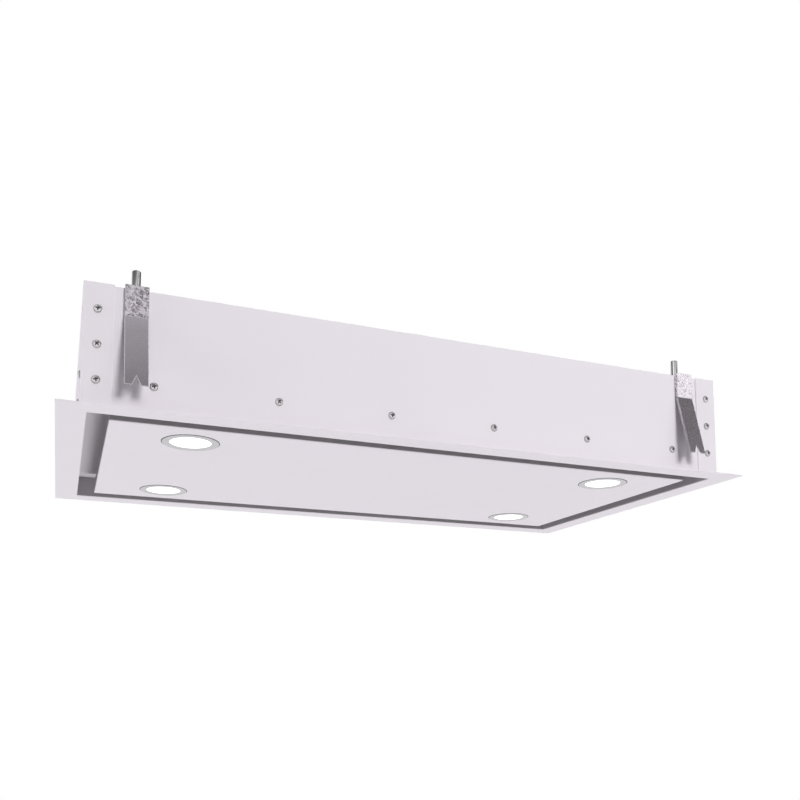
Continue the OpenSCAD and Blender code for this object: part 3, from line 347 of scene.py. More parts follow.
def drawn(name, tone):
    """Bright drawn rod, with long light and dark streaks in its colour: a painted reflection standing in for
    the bands a round rod mirrors.
    """
    made, tree, shader, place = begin(name)
    lines = noise(tree, stretched(tree, place, (330.0, 330.0, 3.0)), 1.0, 2.0)
    stops = ((0.43, scaled(tone, 0.1)), (0.52, scaled(tone, 0.5)), (0.57, scaled(tone, 2.3)))
    # Painted reflection: the ramp runs from a tenth of the tone to more than twice it
    painted_reflection = ramp(tree, lines, stops)
    fill(tree, shader, Base_Color=painted_reflection, Roughness=between(tree, lines, 0.12, 0.2), Metallic=1.0)
    dented(tree, shader, lines, 0.4, 0.0001)
    return made


def plated(name, tone):
    """Zinc plating, with painted shade in the hollows that the mesh marks."""
    shade_tone = opaque(tone, 0.27)

    def change(tree, bright):
        # Painted shade: the marked hollows take the dark tone
        return blended(tree, mark(tree, "hollow"), bright, shade_tone)

    return recoloured(metal(name, tone, 0.26, (700.0, 700.0, 700.0), 0.10), change)


def spangled(name, tone, cells, contrast, rough, bump=0.12):
    """Hot-dip zinc: crystals of differing tone and gloss, with fine feathering inside them."""
    made, tree, shader, place = begin(name)
    bent = noise(tree, place, cells * 1.5, 2.0, output=1)
    pushed = add(tree, "ShaderNodeMix", {"data_type": "VECTOR"}, Factor=0.004, i4=place, i5=bent).outputs[1]
    crystal = add(tree, "ShaderNodeTexVoronoi", Vector=pushed, Scale=cells)
    feather = noise(tree, place, cells * 9.0, 3.0, 0.65)
    tone_value = add(tree, "ShaderNodeSeparateColor", Color=crystal.outputs["Color"]).outputs[0]
    squeeze = 0.72
    value = maths(tree, "MULTIPLY", maths(tree, "MULTIPLY_ADD", feather, 0.5, tone_value), squeeze)
    stops = ((0.15, scaled(tone, 1 - contrast)), (0.7, tone), (1.25, scaled(tone, 1 + contrast)))
    level = ramp(tree, value, [(min(1.0, where * squeeze), stop) for where, stop in stops])
    gloss = between(tree, tone_value, rough * 0.75, rough * 1.25)
    fill(tree, shader, Base_Color=level, Roughness=gloss, Metallic=1.0)
    dented(tree, shader, feather, bump, 0.0001)
    return made


def moulded(name, tone, rough, pits):
    """Moulded plastic or rubber with a spark-eroded grain."""
    made, tree, shader, place = begin(name)
    grain = noise(tree, place, pits, 2.0, 0.6)
    cloud = noise(tree, place, 30.0, 2.0)
    gloss = between(tree, grain, rough * 0.9, rough * 1.1)
    fill(tree, shader, Base_Color=tinted(tree, cloud, tone, 0.88, 1.14), Roughness=gloss)
    dented(tree, shader, grain, 0.25, 0.0002)
    return made


def wound(name, tone):
    """Lacquered copper wire laid in turns."""
    made, tree, shader, place = begin(name)
    along = {"bands_direction": "Z"}
    wave = add(tree, "ShaderNodeTexWave", along, Vector=place, Scale=380.0, Distortion=1.2, Detail=2.0)
    turns = wave.outputs[1]
    copper = tinted(tree, turns, tone, 0.55, 1.15)
    fill(tree, shader, Base_Color=copper, Roughness=between(tree, turns, 0.3, 0.5), Metallic=0.85)
    dented(tree, shader, turns, 0.5, 0.0004)
    return made


def printed_board(name, tone):
    """Solder mask over copper tracks."""
    made, tree, shader, place = begin(name)
    tracks = add(
        tree,
        "ShaderNodeTexBrick",
        Vector=place,
        Scale=260.0,
        Color1=opaque(tone, 0.8),
        Color2=opaque(tone, 1.35),
        Mortar=opaque(tone, 2.2),
        Mortar_Size=0.03,
    )
    gloss = between(tree, noise(tree, place, 300.0), 0.25, 0.4)
    fill(tree, shader, Base_Color=tracks.outputs[0], Roughness=gloss)
    dented(tree, shader, tracks.outputs[1], 0.3, 0.0001)
    return made


def lit_lens(name, tone):
    """Frosted lens, glowing evenly and less at its rim. The mesh marks how far out each place is."""
    made, tree, shader, place = begin(name)
    frost = noise(tree, place, 700.0, 2.0)
    stops = ((0.0, tone), (0.82, scaled(tone, 0.98)), (1.0, scaled(tone, 0.62)))
    glass = tinted(tree, frost, (0.8, 0.8, 0.81), 0.97, 1.03)
    fill(tree, shader, Base_Color=glass, Roughness=between(tree, frost, 0.35, 0.5))
    fill(tree, shader, Emission_Color=ramp(tree, mark(tree, "reach"), stops), Emission_Strength=1.1)
    dented(tree, shader, frost, 0.15, 0.0002)
    return made


FINISHES = {
    "white_paint": (painted, "paint"),
    "zinc_sheet": (spangled, "zinc", 95.0, 0.16, 0.42, 0.03),
    "screw_zinc": (plated, "screw"),
    "bright_steel": (metal, "bright", 0.28, (60.0, 900.0, 900.0)),
    "dark_steel": (metal, "dark", 0.40, (500.0, 500.0, 120.0), 0.2),
    "black_plastic": (moulded, "plastic", 0.48, 1600.0),
    "aluminium": (metal, "aluminium", 0.34, (30.0, 1100.0, 1100.0)),
    "filter_mesh": (metal, "aluminium", 0.38, (400.0, 400.0, 400.0), 0.14),
    "lamp_bezel": (metal, "bezel", 0.30, (900.0, 900.0, 900.0), 0.04, 0.04),
    "lamp_lens": (lit_lens, "glow"),
    "lead": (moulded, "lead", 0.5, 1200.0),
    "rubber": (moulded, "rubber", 0.8, 900.0),
    "winding": (wound, "winding"),
    "board": (printed_board, "board"),
    "driver_case": (moulded, "case", 0.5, 1500.0),
    "clamp_galvanised": (spangled, "galvanised", 520.0, 0.68, 0.36),
    "clamp_leaf": (tempered, "leaf"),
    "clamp_rod": (drawn, "rod"),
}


def finish_of(slot):
    """The finish for a material slot, made when it is first asked for."""
    name = "hood_" + slot
    known = bpy.data.materials.get(name)
    if known:
        return known
    maker, tone, *values = FINISHES[slot]
    return maker(name, tuple(getattr(bpy.context.scene.hood_colours, tone)), *values)


# Mesh building


def placed(name, data):
    """A new object in the scene."""
    made = bpy.data.objects.new(name, data)
    bpy.context.scene.collection.objects.link(made)
    return made


def settle(piece, bm, slot, body, stands_for=(), smooth=32.0):
    """Turns the built mesh into a piece that rides on its body, with its finish and its even shading."""
    bmesh.ops.remove_doubles(bm, verts=bm.verts, dist=MERGE)
    bmesh.ops.recalc_face_normals(bm, faces=bm.faces)
    mesh = bpy.data.meshes.new(piece)
    bm.to_mesh(mesh)
    bm.free()
    mesh.shade_smooth()
    mesh.set_sharp_from_angle(angle=math.radians(smooth))
    made = placed(piece, mesh)
    mesh.materials.append(finish_of(slot))
    even = made.modifiers.new("even shading", "WEIGHTED_NORMAL")
    even.keep_sharp = True
    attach(made, body)
    if stands_for:
        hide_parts(*stands_for)
    return made


def cad_mesh(node):
    """A CAD node's bare mesh, its corners joined."""
    bm = bmesh.new()
    bm.from_mesh(FRAME["nodes"][node].data)
    for layers in (bm.loops.layers.float_vector, bm.loops.layers.uv, bm.loops.layers.float_color):
        for layer in list(layers.values()):
            layers.remove(layer)
    bmesh.ops.remove_doubles(bm, verts=bm.verts, dist=CAD_MERGE)
    return bm


def rounded(node, slot, width, segments=2, rim=0.0):
    """Stands for a CAD node with the same solids, their longer sharp edges rounded. A rim is how wide a band
    round broad faces' edges is marked for a painted highlight."""
    bm = cad_mesh(node)
    bmesh.ops.dissolve_limit(bm, angle_limit=FLAT, verts=bm.verts, edges=bm.edges)
    worn = bm.faces.layers.float.new("worn") if rim else None
    folds = [e for e in bm.edges if len(e.link_faces) == 2 and e.calc_face_angle(0.0) > FOLD]
    long = [e for e in folds if e.calc_length() > LEAST * width]
    kind = {"profile": 0.5, "affect": "EDGES", "clamp_overlap": True}
    bmesh.ops.bevel(bm, geom=long, offset=width, segments=segments, **kind)
    # Painted highlight: the band inset round each broad face is marked for the finish to lighten
    if rim:
        broad = [f for f in bm.faces if f.calc_area() > BROAD]
        inset = bmesh.ops.inset_individual(bm, faces=broad, thickness=rim, use_even_offset=True)
        for face in inset["faces"]:
            face[worn] = 1.0
    owner = FRAME["nodes"][node]
    return settle(node + "_finished", bm, slot, owner["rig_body"], (node,))


def round_all(*rows):
    """Rounds several CAD nodes, each with its slot and width, and gives an operator's result."""
    for row in rows:
        rounded(*row)
    return {"FINISHED"}


def mark_rings(rings, layer, value):
    """Gives every corner of some rings a number for the finish to read."""
    for ring in rings:
        for vert in ring:
            vert[layer] = value


def in_mm(*points):
    """Points of a profile given in millimetres."""
    return [(a * MM, b * MM) for a, b in points]


def solids_of(node):
    """The lowest and highest corner of each separate solid in a CAD node."""
    bm = cad_mesh(node)
    found, seen = [], set()
    for start in bm.verts:
        if start in seen:
            continue
        seen.add(start)
        stack, points = [start], []
        while stack:
            at = stack.pop()
            points.append(at.co.copy())
            for edge in at.link_edges:
                other = edge.other_vert(at)
                if other not in seen:
                    seen.add(other)
                    stack.append(other)
        found.append([Vector([end(p[i] for p in points) for i in range(3)]) for end in (min, max)])
    bm.free()
    return found


def rounds_of(node):
    """The middle and the radius of each separate round solid in a CAD node."""
    return [((low + high) / 2, (high.x - low.x) / 2) for low, high in solids_of(node)]


def strip(bm, rings, closed):
    """Joins rings of vertices with faces."""
    for a, b in zip(rings, rings[1:]):
        count = max(len(a), len(b))
        for i in range(count if closed else count - 1):
            j = (i + 1) % count
            corners = [a[i % len(a)], a[j % len(a)], b[j % len(b)], b[i % len(b)]]
            kept = [v for k, v in enumerate(corners) if v not in corners[:k]]
            if len(kept) > 2:
                bm.faces.new(kept)


def lathe(bm, profile, place, steps, flutes=0, depth=0.0):
    """Turns (radius, height) points about Z, those on the axis into one corner. Flutes go in by a depth."""
    rings = []
    for r, z in profile:
        ring = []
        for i in range(steps if r else 1):
            a = 2 * math.pi * i / steps
            out = r - depth * (0.5 - 0.5 * math.cos(flutes * a))
            ring.append(bm.verts.new(place @ Vector((out * math.cos(a), out * math.sin(a), z))))
        rings.append(ring)
    strip(bm, rings, True)
    return rings


def arc(cx, cz, radius, start, end, steps=4):
    """Points on an arc of a profile, its angles in degrees."""
    turn = [math.radians(start + (end - start) * i / steps) for i in range(steps + 1)]
    return [(cx + radius * math.cos(a), cz + radius * math.sin(a)) for a in turn]


def frame_ring(bm, half_x, half_y, out, z, corner, steps=4):
    """One ring round a rectangle, moved outward, its corners rounded where that leaves a radius."""
    if not corner:
        return [bm.verts.new((sx * (half_x + out), sy * (half_y + out), z)) for sx, sy in CORNERS]
    radius, shift = max(corner + out, 0.0), min(corner + out, 0.0)
    ring = []
    for quarter, (sx, sy) in enumerate(CORNERS):
        x, y = sx * (half_x - corner + shift), sy * (half_y - corner + shift)
        for i in range(steps + 1):
            a = math.pi + quarter * math.pi / 2 + math.pi / 2 * i / steps
            ring.append(bm.verts.new((x + radius * math.cos(a), y + radius * math.sin(a), z)))
    return ring


def frame_sweep(bm, profile, half_x, half_y, corner=0.0, closed=True):
    """Sweeps (outward offset, height) points round a rectangle."""
    rings = [frame_ring(bm, half_x, half_y, d, z, corner) for d, z in profile]
    strip(bm, rings + rings[:1] if closed else rings, True)
    return rings


def loop_edges(bm, ring):
    """The edges of a ring, made where they are missing."""
    made = []
    for a, b in zip(ring, ring[1:] + ring[:1]):
        if a is not b:
            made.append(bm.edges.get((a, b)) or bm.edges.new((a, b)))
    return made


def circle(bm, x, y, z, radius, steps=64):
    """A ring of vertices lying flat."""
    turns = [2 * math.pi * i / steps for i in range(steps)]
    return [bm.verts.new((x + radius * math.cos(a), y + radius * math.sin(a), z)) for a in turns]


def aim(thing, yaw, pitch):
    """Makes a lamp or camera look to the right of straight ahead and up. Gives that direction."""
    way = Vector((math.sin(yaw) * math.cos(pitch), math.cos(yaw) * math.cos(pitch), math.sin(pitch)))
    thing.rotation_euler = way.to_track_quat("-Z", "Y").to_euler()
    return way


def size_of(node):
    """Half of a node's length and width, and its lowest and highest point."""
    low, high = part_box(node)
    return (high.x - low.x) / 2, (high.y - low.y) / 2, low.z, high.z


# Operators


class HOOD_OT_trim_frame(Operator):
    """Fold the trim frame: the flat rim and its upstand, in one sheet"""

    bl_idname = "hood.trim_frame"
    bl_label = "Trim frame"

    def execute(self, context):
        sizes = context.scene.hood_sizes
        half_x, half_y = size_of("trim_frame")[:2]
        up = size_of("filter_deck")[2]
        t, rim, e, r = 1.5 * MM, 31.5 * MM, sizes.sheet_edge, sizes.fold_radius
        fold = arc(rim - e, e, e, 0, -90) + arc(r, r, r, 270, 180, 6)
        lip = arc(e, up - e, e, 180, 90)
        back = arc(t - e, up - e, e, 90, 0) + arc(t + e, t + e, e, 180, 270) + arc(rim - e, t - e, e, 90, 0)
        bm = bmesh.new()
        recess = bm.verts.layers.float.new("recess")
        rings = frame_sweep(bm, fold + lip + back, half_x - rim, half_y - rim)
        # Painted shade: the upstand's inner face is marked to take the finish's grey, for the shade in the
        # slot
        shade = 0.75
        mark_rings(rings[len(fold) - 1 : len(fold + lip)], recess, shade)
        settle("trim_frame_folded", bm, "white_paint", "casing", ("trim_frame",))
        return {"FINISHED"}


class HOOD_OT_casing(Operator):
    """Round the casing's sheets, the filter deck and the braces, press ribs into the top and set its bolts"""

    bl_idname = "hood.casing"
    bl_label = "Casing"

    def execute(self, context):
        sizes = context.scene.hood_sizes
        e = sizes.sheet_edge
        for side in ("front", "back", "left", "right"):
            rounded(side + "_panel", "white_paint", e)
        deck = rounded("filter_deck", "white_paint", e).data
        # Painted shade: the whole filter deck is marked to take part of the finish's grey, for the shade above
        # the slots
        shade = 0.35
        deck.attributes.new("recess", "FLOAT", "POINT").data.foreach_set("value", [shade] * len(deck.vertices))
        round_all(("top_panel", "zinc_sheet", e), ("corner_braces", "zinc_sheet", e))
        self.ribs(sizes)
        self.mount_bolts()
        return {"FINISHED"}

    def ribs(self, sizes):
        """Long pressed ribs that stiffen the top panel."""
        w, rise, steps = sizes.rib_half, 1.7 * MM, 8
        z = size_of("top_panel")[3] - 0.2 * MM
        bm = bmesh.new()
        places = ((-0.33, -0.06, -0.155), (0.10, 0.34, -0.155), (-0.33, 0.34, 0.165), (-0.33, -0.09, -0.07))
        for x0, x1, y in places:
            start = [(x0, 0.0), (x0 + w / 2, 0.75), (x0 + w, 1.0)]
            end = [(x1 - w, 1.0), (x1 - w / 2, 0.75), (x1, 0.0)]
            rings = []
            for x, part in start + end:
                turns = [math.pi * i / steps for i in range(steps + 1)]
                points = [(x, y + w * part * math.cos(a), z + rise * part * math.sin(a)) for a in turns]
                rings.append([bm.verts.new(point) for point in points])
            strip(bm, rings, False)
        settle("top_ribs", bm, "zinc_sheet", "casing", smooth=60.0)

    def mount_bolts(self):
        """Hexagon bolts through the top panel into the blower's mounts, on their washers."""
        z = size_of("top_panel")[3]
        bm = bmesh.new()
        for low, high in solids_of("rubber_mounts"):
            place = Matrix.Translation(((low.x + high.x) / 2, (low.y + high.y) / 2, z))
            lathe(bm, in_mm((0, 0), (6.4, 0), (6.4, 0.5), (6.1, 0.7), (0, 0.7)), place, 32)
            hexagon = in_mm((4.6, 0.6), (4.6, 1.6), (4.1, 1.95), (0, 2.0))
            lathe(bm, hexagon, place @ Matrix.Rotation(0.4, 4, "Z"), 6)
        settle("mount_bolts", bm, "screw_zinc", "casing")


class HOOD_OT_screws(Operator):
    """Turn every screw head with its washer and cross recess"""

    bl_idname = "hood.screws"
    bl_label = "Screws"

    def execute(self, context):
        sizes = context.scene.hood_sizes
        edge_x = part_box("right_panel")[1].x
        ceiling = size_of("top_panel")[2]
        near, long, head = 8 * MM, 9.8 * MM, 3 * MM
        for node in ("corner_screws", "deck_screws", "small_screws"):
            bm = bmesh.new()
            # Painted shade mark, set on each screw's hollows
            hollow = bm.verts.layers.float.new("hollow")
            for number, (low, high) in enumerate(solids_of(node)):
                mid = (low + high) / 2
                if low.z > ceiling - near and high.z - low.z > long:
                    axis, base = Vector((0, 0, 1)), Vector((mid.x, mid.y, high.z - head))
                elif abs(mid.x) > edge_x - near:
                    sign = 1 if mid.x > 0 else -1
                    axis, base = Vector((sign, 0, 0)), Vector((sign * edge_x, mid.y, mid.z))
                else:
                    sign = 1 if mid.y > 0 else -1
                    outer = high.y if sign > 0 else -low.y
                    axis, base = Vector((0, sign, 0)), Vector((mid.x, sign * (outer - head), mid.z))
                # Each recess stops at a turn of its own
                turn = Matrix.Rotation(math.radians(37 * number % 90 + 11), 4, "Z")
                place = Matrix.Translation(base) @ axis.to_track_quat("Z", "Y").to_matrix().to_4x4() @ turn
                self.screw(bm, place, sizes, hollow)
            settle(node + "_turned", bm, "screw_zinc", "casing", (node,), 40.0)
        return {"FINISHED"}

    def screw(self, bm, place, sizes, hollow):
        """One pan-head screw with a washer face, its recess open in the mesh."""
        arm, half, deep = sizes.recess_arm, sizes.recess_half, sizes.recess_depth
        dome, flange, top = sizes.screw_dome, sizes.screw_flange, 3.0 * MM
        washer, shank, point, bottom = 4.8 * MM, 2.4 * MM, 1.2 * MM, -7 * MM
        chamfer = 0.1 * MM
        low = flange + 0.25 * MM
        first = math.degrees(math.atan2(half, arm))
        quarter = (0.0, first, 20.0, 31.0, 45.0, 59.0, 70.0, 90.0 - first)
        angles = [math.radians(q * 90 + a) for q in range(4) for a in quarter]

        def edge(a):
            b = math.degrees(a) % 90
            b = math.radians(min(b, 90 - b))
            return arm / math.cos(b) if math.degrees(b) <= first + 0.01 else half / math.sin(b)

        def crown(r):
            return low + (top - low) * max(0.0, 1 - (r / dome) ** 2.4) ** 0.6

        def ring(radius, height):
            made = []
            for a in angles:
                r = radius(a)
                made.append(bm.verts.new(place @ Vector((r * math.cos(a), r * math.sin(a), height(r)))))
            return made

        rings = [
            [bm.verts.new(place @ Vector((0, 0, top - deep)))],
            ring(lambda a: 0.6 * edge(a), lambda r: top - 0.8 * deep),
            ring(edge, lambda r: crown(r) - 0.08 * MM),
            ring(lambda a: edge(a) + chamfer, crown),
        ]
        for t in (0.35, 0.7, 0.9, 1.0):
            rings.append(ring(lambda a, t=t: (1 - t) * (edge(a) + chamfer) + t * dome, crown))
        for r, z in (
            (dome + 0.15 * MM, flange + 0.06 * MM),
            (4.4 * MM, flange),
            (4.7 * MM, flange - 0.15 * MM),
            (washer, flange - 0.4 * MM),
            (washer, 0.0),
            (shank, 0.0),
            (shank, -5.5 * MM),
            (point, bottom),
        ):
            rings.append(ring(lambda a, r=r: r, lambda r, z=z: z))
        rings.append([bm.verts.new(place @ Vector((0, 0, bottom)))])
        strip(bm, rings, True)
        # Painted shade on the recess, the groove round the dome, and the washer's rim and foot
        mark_rings([rings[number] for number in (0, 1, 2, 7, 8, 11, 12)], hollow, 1.0)


class HOOD_OT_suction_panel(Operator):
    """Fold the suction panel's tray with its lamp holes, and finish its cover and hinges"""

    bl_idname = "hood.suction_panel"
    bl_label = "Suction panel"

    def execute(self, context):
        sizes = context.scene.hood_sizes
        half_x, half_y, low, top = size_of("suction_panel")
        t, e, r, back = 1.0 * MM, sizes.sheet_edge, sizes.fold_radius, 12 * MM
        inner, corner, covered = 0.4 * MM, 1.6 * MM, 4.1 * MM
        fold = arc(-r, low + r, r, 270, 360, 6)
        shoulder = arc(-r, top - r, r, 0, 90)
        flange = arc(-back + e, top - e, e, 90, 180, 2) + arc(-back + e, top - t + e, e, 180, 270, 2)
        x = -t - inner
        inside = arc(x, top - t - inner, inner, 90, 0) + arc(x, low + t + inner, inner, 0, -90)
        bm = bmesh.new()
        recess = bm.verts.layers.float.new("recess")
        rings = frame_sweep(bm, fold + shoulder + flange + inside, half_x, half_y, corner, closed=False)
        # Painted shade on the tray's side, marked where the slot shows it: from the fold's end to the flange's
        # rounded edge
        mark_rings(rings[len(fold) - 1 : len(fold + shoulder) + 2], recess, 1.0)
        faces = [[rings[0]], [rings[-1]]]
        for mid, outer in rounds_of("lamp_bezels"):
            pair = [circle(bm, mid.x, mid.y, z, outer - covered) for z in (low, low + t)]
            strip(bm, pair, True)
            for face, hole in zip(faces, pair):
                face.append(hole)
        for face in faces:
            edges = [edge for ring in face for edge in loop_edges(bm, ring)]
            bmesh.ops.triangle_fill(bm, use_beauty=True, use_dissolve=False, edges=edges)
        settle("suction_panel_folded", bm, "white_paint", "panel", ("suction_panel",))
        return round_all(
            ("panel_cover", "zinc_sheet", e),
            ("hinge_arms", "bright_steel", e),
            ("hinge_brackets", "bright_steel", e),
            ("hinge_pins", "dark_steel", 0.4 * MM),
            ("strike_plates", "bright_steel", 0.3 * MM),
            ("magnet_catches", "black_plastic", 1.0 * MM, 3),
        )


class HOOD_OT_lamps(Operator):
    """Turn the lamps' bezels and lenses, and finish their bodies, clips and wiring"""

    bl_idname = "hood.lamps"
    bl_label = "Lamps"

    def execute(self, context):
        sizes = context.scene.hood_sizes
        face = size_of("suction_panel")[2]
        z, rear = size_of("lamp_bezels")[2:]
        top = size_of("lamp_lenses")[3]
        e = 0.5 * MM
        rims, lenses, dark_rings = bmesh.new(), bmesh.new(), bmesh.new()
        reach = lenses.verts.layers.float.new("reach")
        for mid, outer in rounds_of("lamp_bezels"):
            place = Matrix.Translation((mid.x, mid.y, 0))
            seen, neck, wall = outer - 9 * MM, outer - 7.5 * MM, outer - 4.5 * MM
            profile = (
                [(outer, face)]
                + arc(outer - e, z + e, e, 0, -90)
                + [(outer - 3.0 * MM, z), (seen + 1.2 * MM, z + 0.1 * MM)]
                + arc(seen + e, z + 0.6 * MM, e, 270, 190)
                + [(seen, face), (neck, face), (neck, rear), (wall, rear), (wall, face), (outer, face)]
            )
            lathe(rims, profile, place, 96)
            # A thin dark ring in the rubber finish lies on the panel's face just round each bezel
            under, bore = face - 0.35 * MM, outer + 0.15 * MM
            lip = [(bore, under), (outer + 0.8 * MM, under + 0.1 * MM), (outer + 0.9 * MM, face)]
            lathe(dark_rings, [(bore, face), *lip, (bore, face)], place, 96)
            edge = neck - 0.05 * MM
            out = (0.0, 0.25, 0.5, 0.7, 0.85, 0.95, 1.0)
            dome = [(seen * s, face - sizes.lens_dome * (1 - s * s)) for s in out]
            made = lathe(lenses, dome + [(edge, face), (edge, top), (0, top)], place, 64)
            for ring, (r, _) in zip(made, dome):
                mark_rings([ring], reach, r / seen)
        settle("lamp_bezels_turned", rims, "lamp_bezel", "panel", ("lamp_bezels",))
        settle("lamp_seals", dark_rings, "rubber", "panel")
        settle("lamp_lenses_turned", lenses, "lamp_lens", "panel", ("lamp_lenses",))
        return round_all(
            ("lamp_bodies", "aluminium", 0.3 * MM),
            ("lamp_clips", "bright_steel", 0.15 * MM),
            ("panel_wiring", "lead", 0.1 * MM, 1),
        )


class HOOD_OT_clamps(Operator):
    """Finish the clamps' rods, brackets and spring leaves"""

    bl_idname = "hood.clamps"
    bl_label = "Clamps"

    def execute(self, context):
        for end in ENDS:
            rounded("clamp_rod_" + end, "clamp_rod", 0.2 * MM)
            rounded("clamp_bracket_" + end, "clamp_galvanised", 0.3 * MM, 3)
            # The leaves' edges get a painted highlight band 0.6 mm wide
            rounded("clamp_leaf_" + end, "clamp_leaf", 0.4 * MM, 3, rim=0.6 * MM)
        return {"FINISHED"}


class HOOD_OT_grease_filters(Operator):
    """Build the grease filters' expanded mesh, and finish their frames and latches"""

    bl_idname = "hood.grease_filters"
    bl_label = "Grease filters"
    FOIL = 0.4 * MM

    def execute(self, context):
        sizes = context.scene.hood_sizes
        low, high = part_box("filter_meshes")
        bm = bmesh.new()
        in_x, in_y, clear, behind, gap = 9 * MM, 1 * MM, 8 * MM, 31 * MM, 1.6 * MM
        y0, y1 = low.y - in_y, high.y + in_y
        for side in ("left", "right"):
            frame_low, frame_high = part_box("filter_frame_" + side)
            latch_low, latch_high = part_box("filter_latch_" + side)
            x0, x1 = frame_low.x + in_x, frame_high.x - in_x
            left, right, back = latch_low.x - clear, latch_high.x + clear, frame_low.y + behind
            for a, b, start in ((x0, left, y0), (left, right, back), (right, x1, y0)):
                for z in (low.z, high.z - self.FOIL):
                    self.expanded(bm, a, b, start, y1, z, sizes)
                self.pleats(bm, a, b, start, y1, low.z + gap, high.z - gap)
            rounded("filter_frame_" + side, "aluminium", 0.5 * MM, 3)
            rounded("filter_latch_" + side, "black_plastic", 0.5 * MM, 3)
        settle("filter_meshes_expanded", bm, "filter_mesh", "casing", ("filter_meshes",))
        return {"FINISHED"}

    def expanded(self, bm, x0, x1, y0, y1, z, sizes):
        """A sheet of expanded metal: zigzag strands that meet at their bends."""
        pitch, w = sizes.mesh_pitch, sizes.mesh_strand
        low_to_long = 0.45
        row = pitch * low_to_long
        strand = ((-1, 0), (1, 0), (1, 1), (-1, 1))
        columns = int((x1 - x0) / (pitch / 2))
        step = (x1 - x0) / columns
        rows = int((y1 - y0) / row)
        for j in range(rows + 1):
            y = y0 + (y1 - y0) * j / max(rows, 1)
            rings = []
            for i in range(columns + 1):
                up = 1 if (i + j) % 2 else -1
                yy = min(max(y + up * (row - w) / 2, y0), y1)
                x = x0 + i * step
                rings.append([bm.verts.new((x, yy + a * w / 2, z + b * self.FOIL)) for a, b in strand])
            strip(bm, rings, True)

    def pleats(self, bm, x0, x1, y0, y1, z0, z1):
        """The folded foil between the two meshes, a fold every 4 mm."""
        count = int((x1 - x0) / (4 * MM))
        rings = []
        for i in range(count + 1):
            x = x0 + (x1 - x0) * i / count
            rings.append([bm.verts.new((x, y, z1 if i % 2 else z0)) for y in (y0, y1)])
        strip(bm, rings, False)


class HOOD_OT_blower(Operator):
    """Finish the blower, its impeller and its motor"""

    bl_idname = "hood.blower"
    bl_label = "Blower"

    def execute(self, context):
        e = context.scene.hood_sizes.sheet_edge
        return round_all(
            ("scroll_housing", "zinc_sheet", e),
            ("inlet_plate", "zinc_sheet", e),
            ("rubber_mounts", "rubber", 0.6 * MM),
            ("motor_housing", "bright_steel", 0.5 * MM),
            ("motor_lid", "bright_steel", 0.4 * MM),
            ("motor_stator", "winding", 0.4 * MM),
            ("motor_bearings", "dark_steel", 0.3 * MM),
            ("rotor_shaft", "dark_steel", 0.3 * MM),
            ("impeller", "aluminium", 0.15 * MM),
            ("motor_capacitor", "black_plastic", 0.8 * MM),
        )


class HOOD_OT_duct_collar(Operator):
    """Finish the duct collar and its two flaps"""

    bl_idname = "hood.duct_collar"
    bl_label = "Duct collar"

    def execute(self, context):
        e = context.scene.hood_sizes.sheet_edge
        return round_all(
            ("duct_collar", "zinc_sheet", e),
            ("damper_pin", "bright_steel", 0.2 * MM),
            ("damper_flap_left", "aluminium", e),
            ("damper_flap_right", "aluminium", e),
        )


class HOOD_OT_electrics(Operator):
    """Finish the control box, the lamp driver and the leads, and turn the cable gland"""

    bl_idname = "hood.electrics"
    bl_label = "Electrics"

    def execute(self, context):
        round_all(
            ("control_box", "black_plastic", 0.8 * MM, 3),
            ("control_board", "board", 0.2 * MM),
            ("lamp_driver", "driver_case", 1.2 * MM, 3),
            ("inner_leads", "lead", 0.1 * MM, 1),
        )
        self.gland()
        return {"FINISHED"}

    def gland(self):
        """The gland's threaded body, its two hexagon nuts and its fluted dome nut."""
        low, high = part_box("cable_gland")
        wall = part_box("back_panel")[1].y
        mid = (low + high) / 2
        place = Matrix.Translation((mid.x, wall, mid.z)) @ Matrix.Rotation(-math.pi / 2, 4, "X")
        bore, thread, sheet, pitch = 4.5 * MM, 8.2 * MM, 1.2 * MM, 1.2 * MM
        root, mouth, nut, start = thread - 0.5 * MM, bore + 1.0 * MM, 6 * MM, -sheet - 11.6 * MM
        inner, out = low.y - wall, high.y - wall
        bm = bmesh.new()
        turns = []
        for i in range(9):
            z = start + i * pitch
            turns += [(thread, z), (root, z + pitch / 2)]
        lathe(bm, [(bore, inner), (root, inner)] + turns + [(thread, -0.2 * MM)], place, 40)
        lathe(bm, [(bore, inner), (bore, out - 1.5 * MM), (mouth, out)], place, 40)
        c, flat, point = 0.7 * MM, 11.0 * MM, 12 * MM
        for z0, z1 in ((0.0, nut), (-sheet - nut, -sheet)):
            sides = [(flat, z0), (point, z0 + c), (point, z1 - c), (flat, z1)]
            hexagon = [(thread, z0), *sides, (thread, z1)]
            lathe(bm, hexagon, place @ Matrix.Rotation(math.pi / 6, 4, "Z"), 6)
        lathe(bm, in_mm((9.4, 6), (10, 6.6), (10, 13.5)), place, 96, 24, 0.35 * MM)
        crown = arc(7.4 * MM, out - 4.4 * MM, 2.5 * MM, 0, 70, 6)
        lathe(bm, in_mm((9.85, 13.5)) + crown + [(mouth, out)], place, 48)
        settle("cable_gland_turned", bm, "black_plastic", "casing", ("cable_gland",))


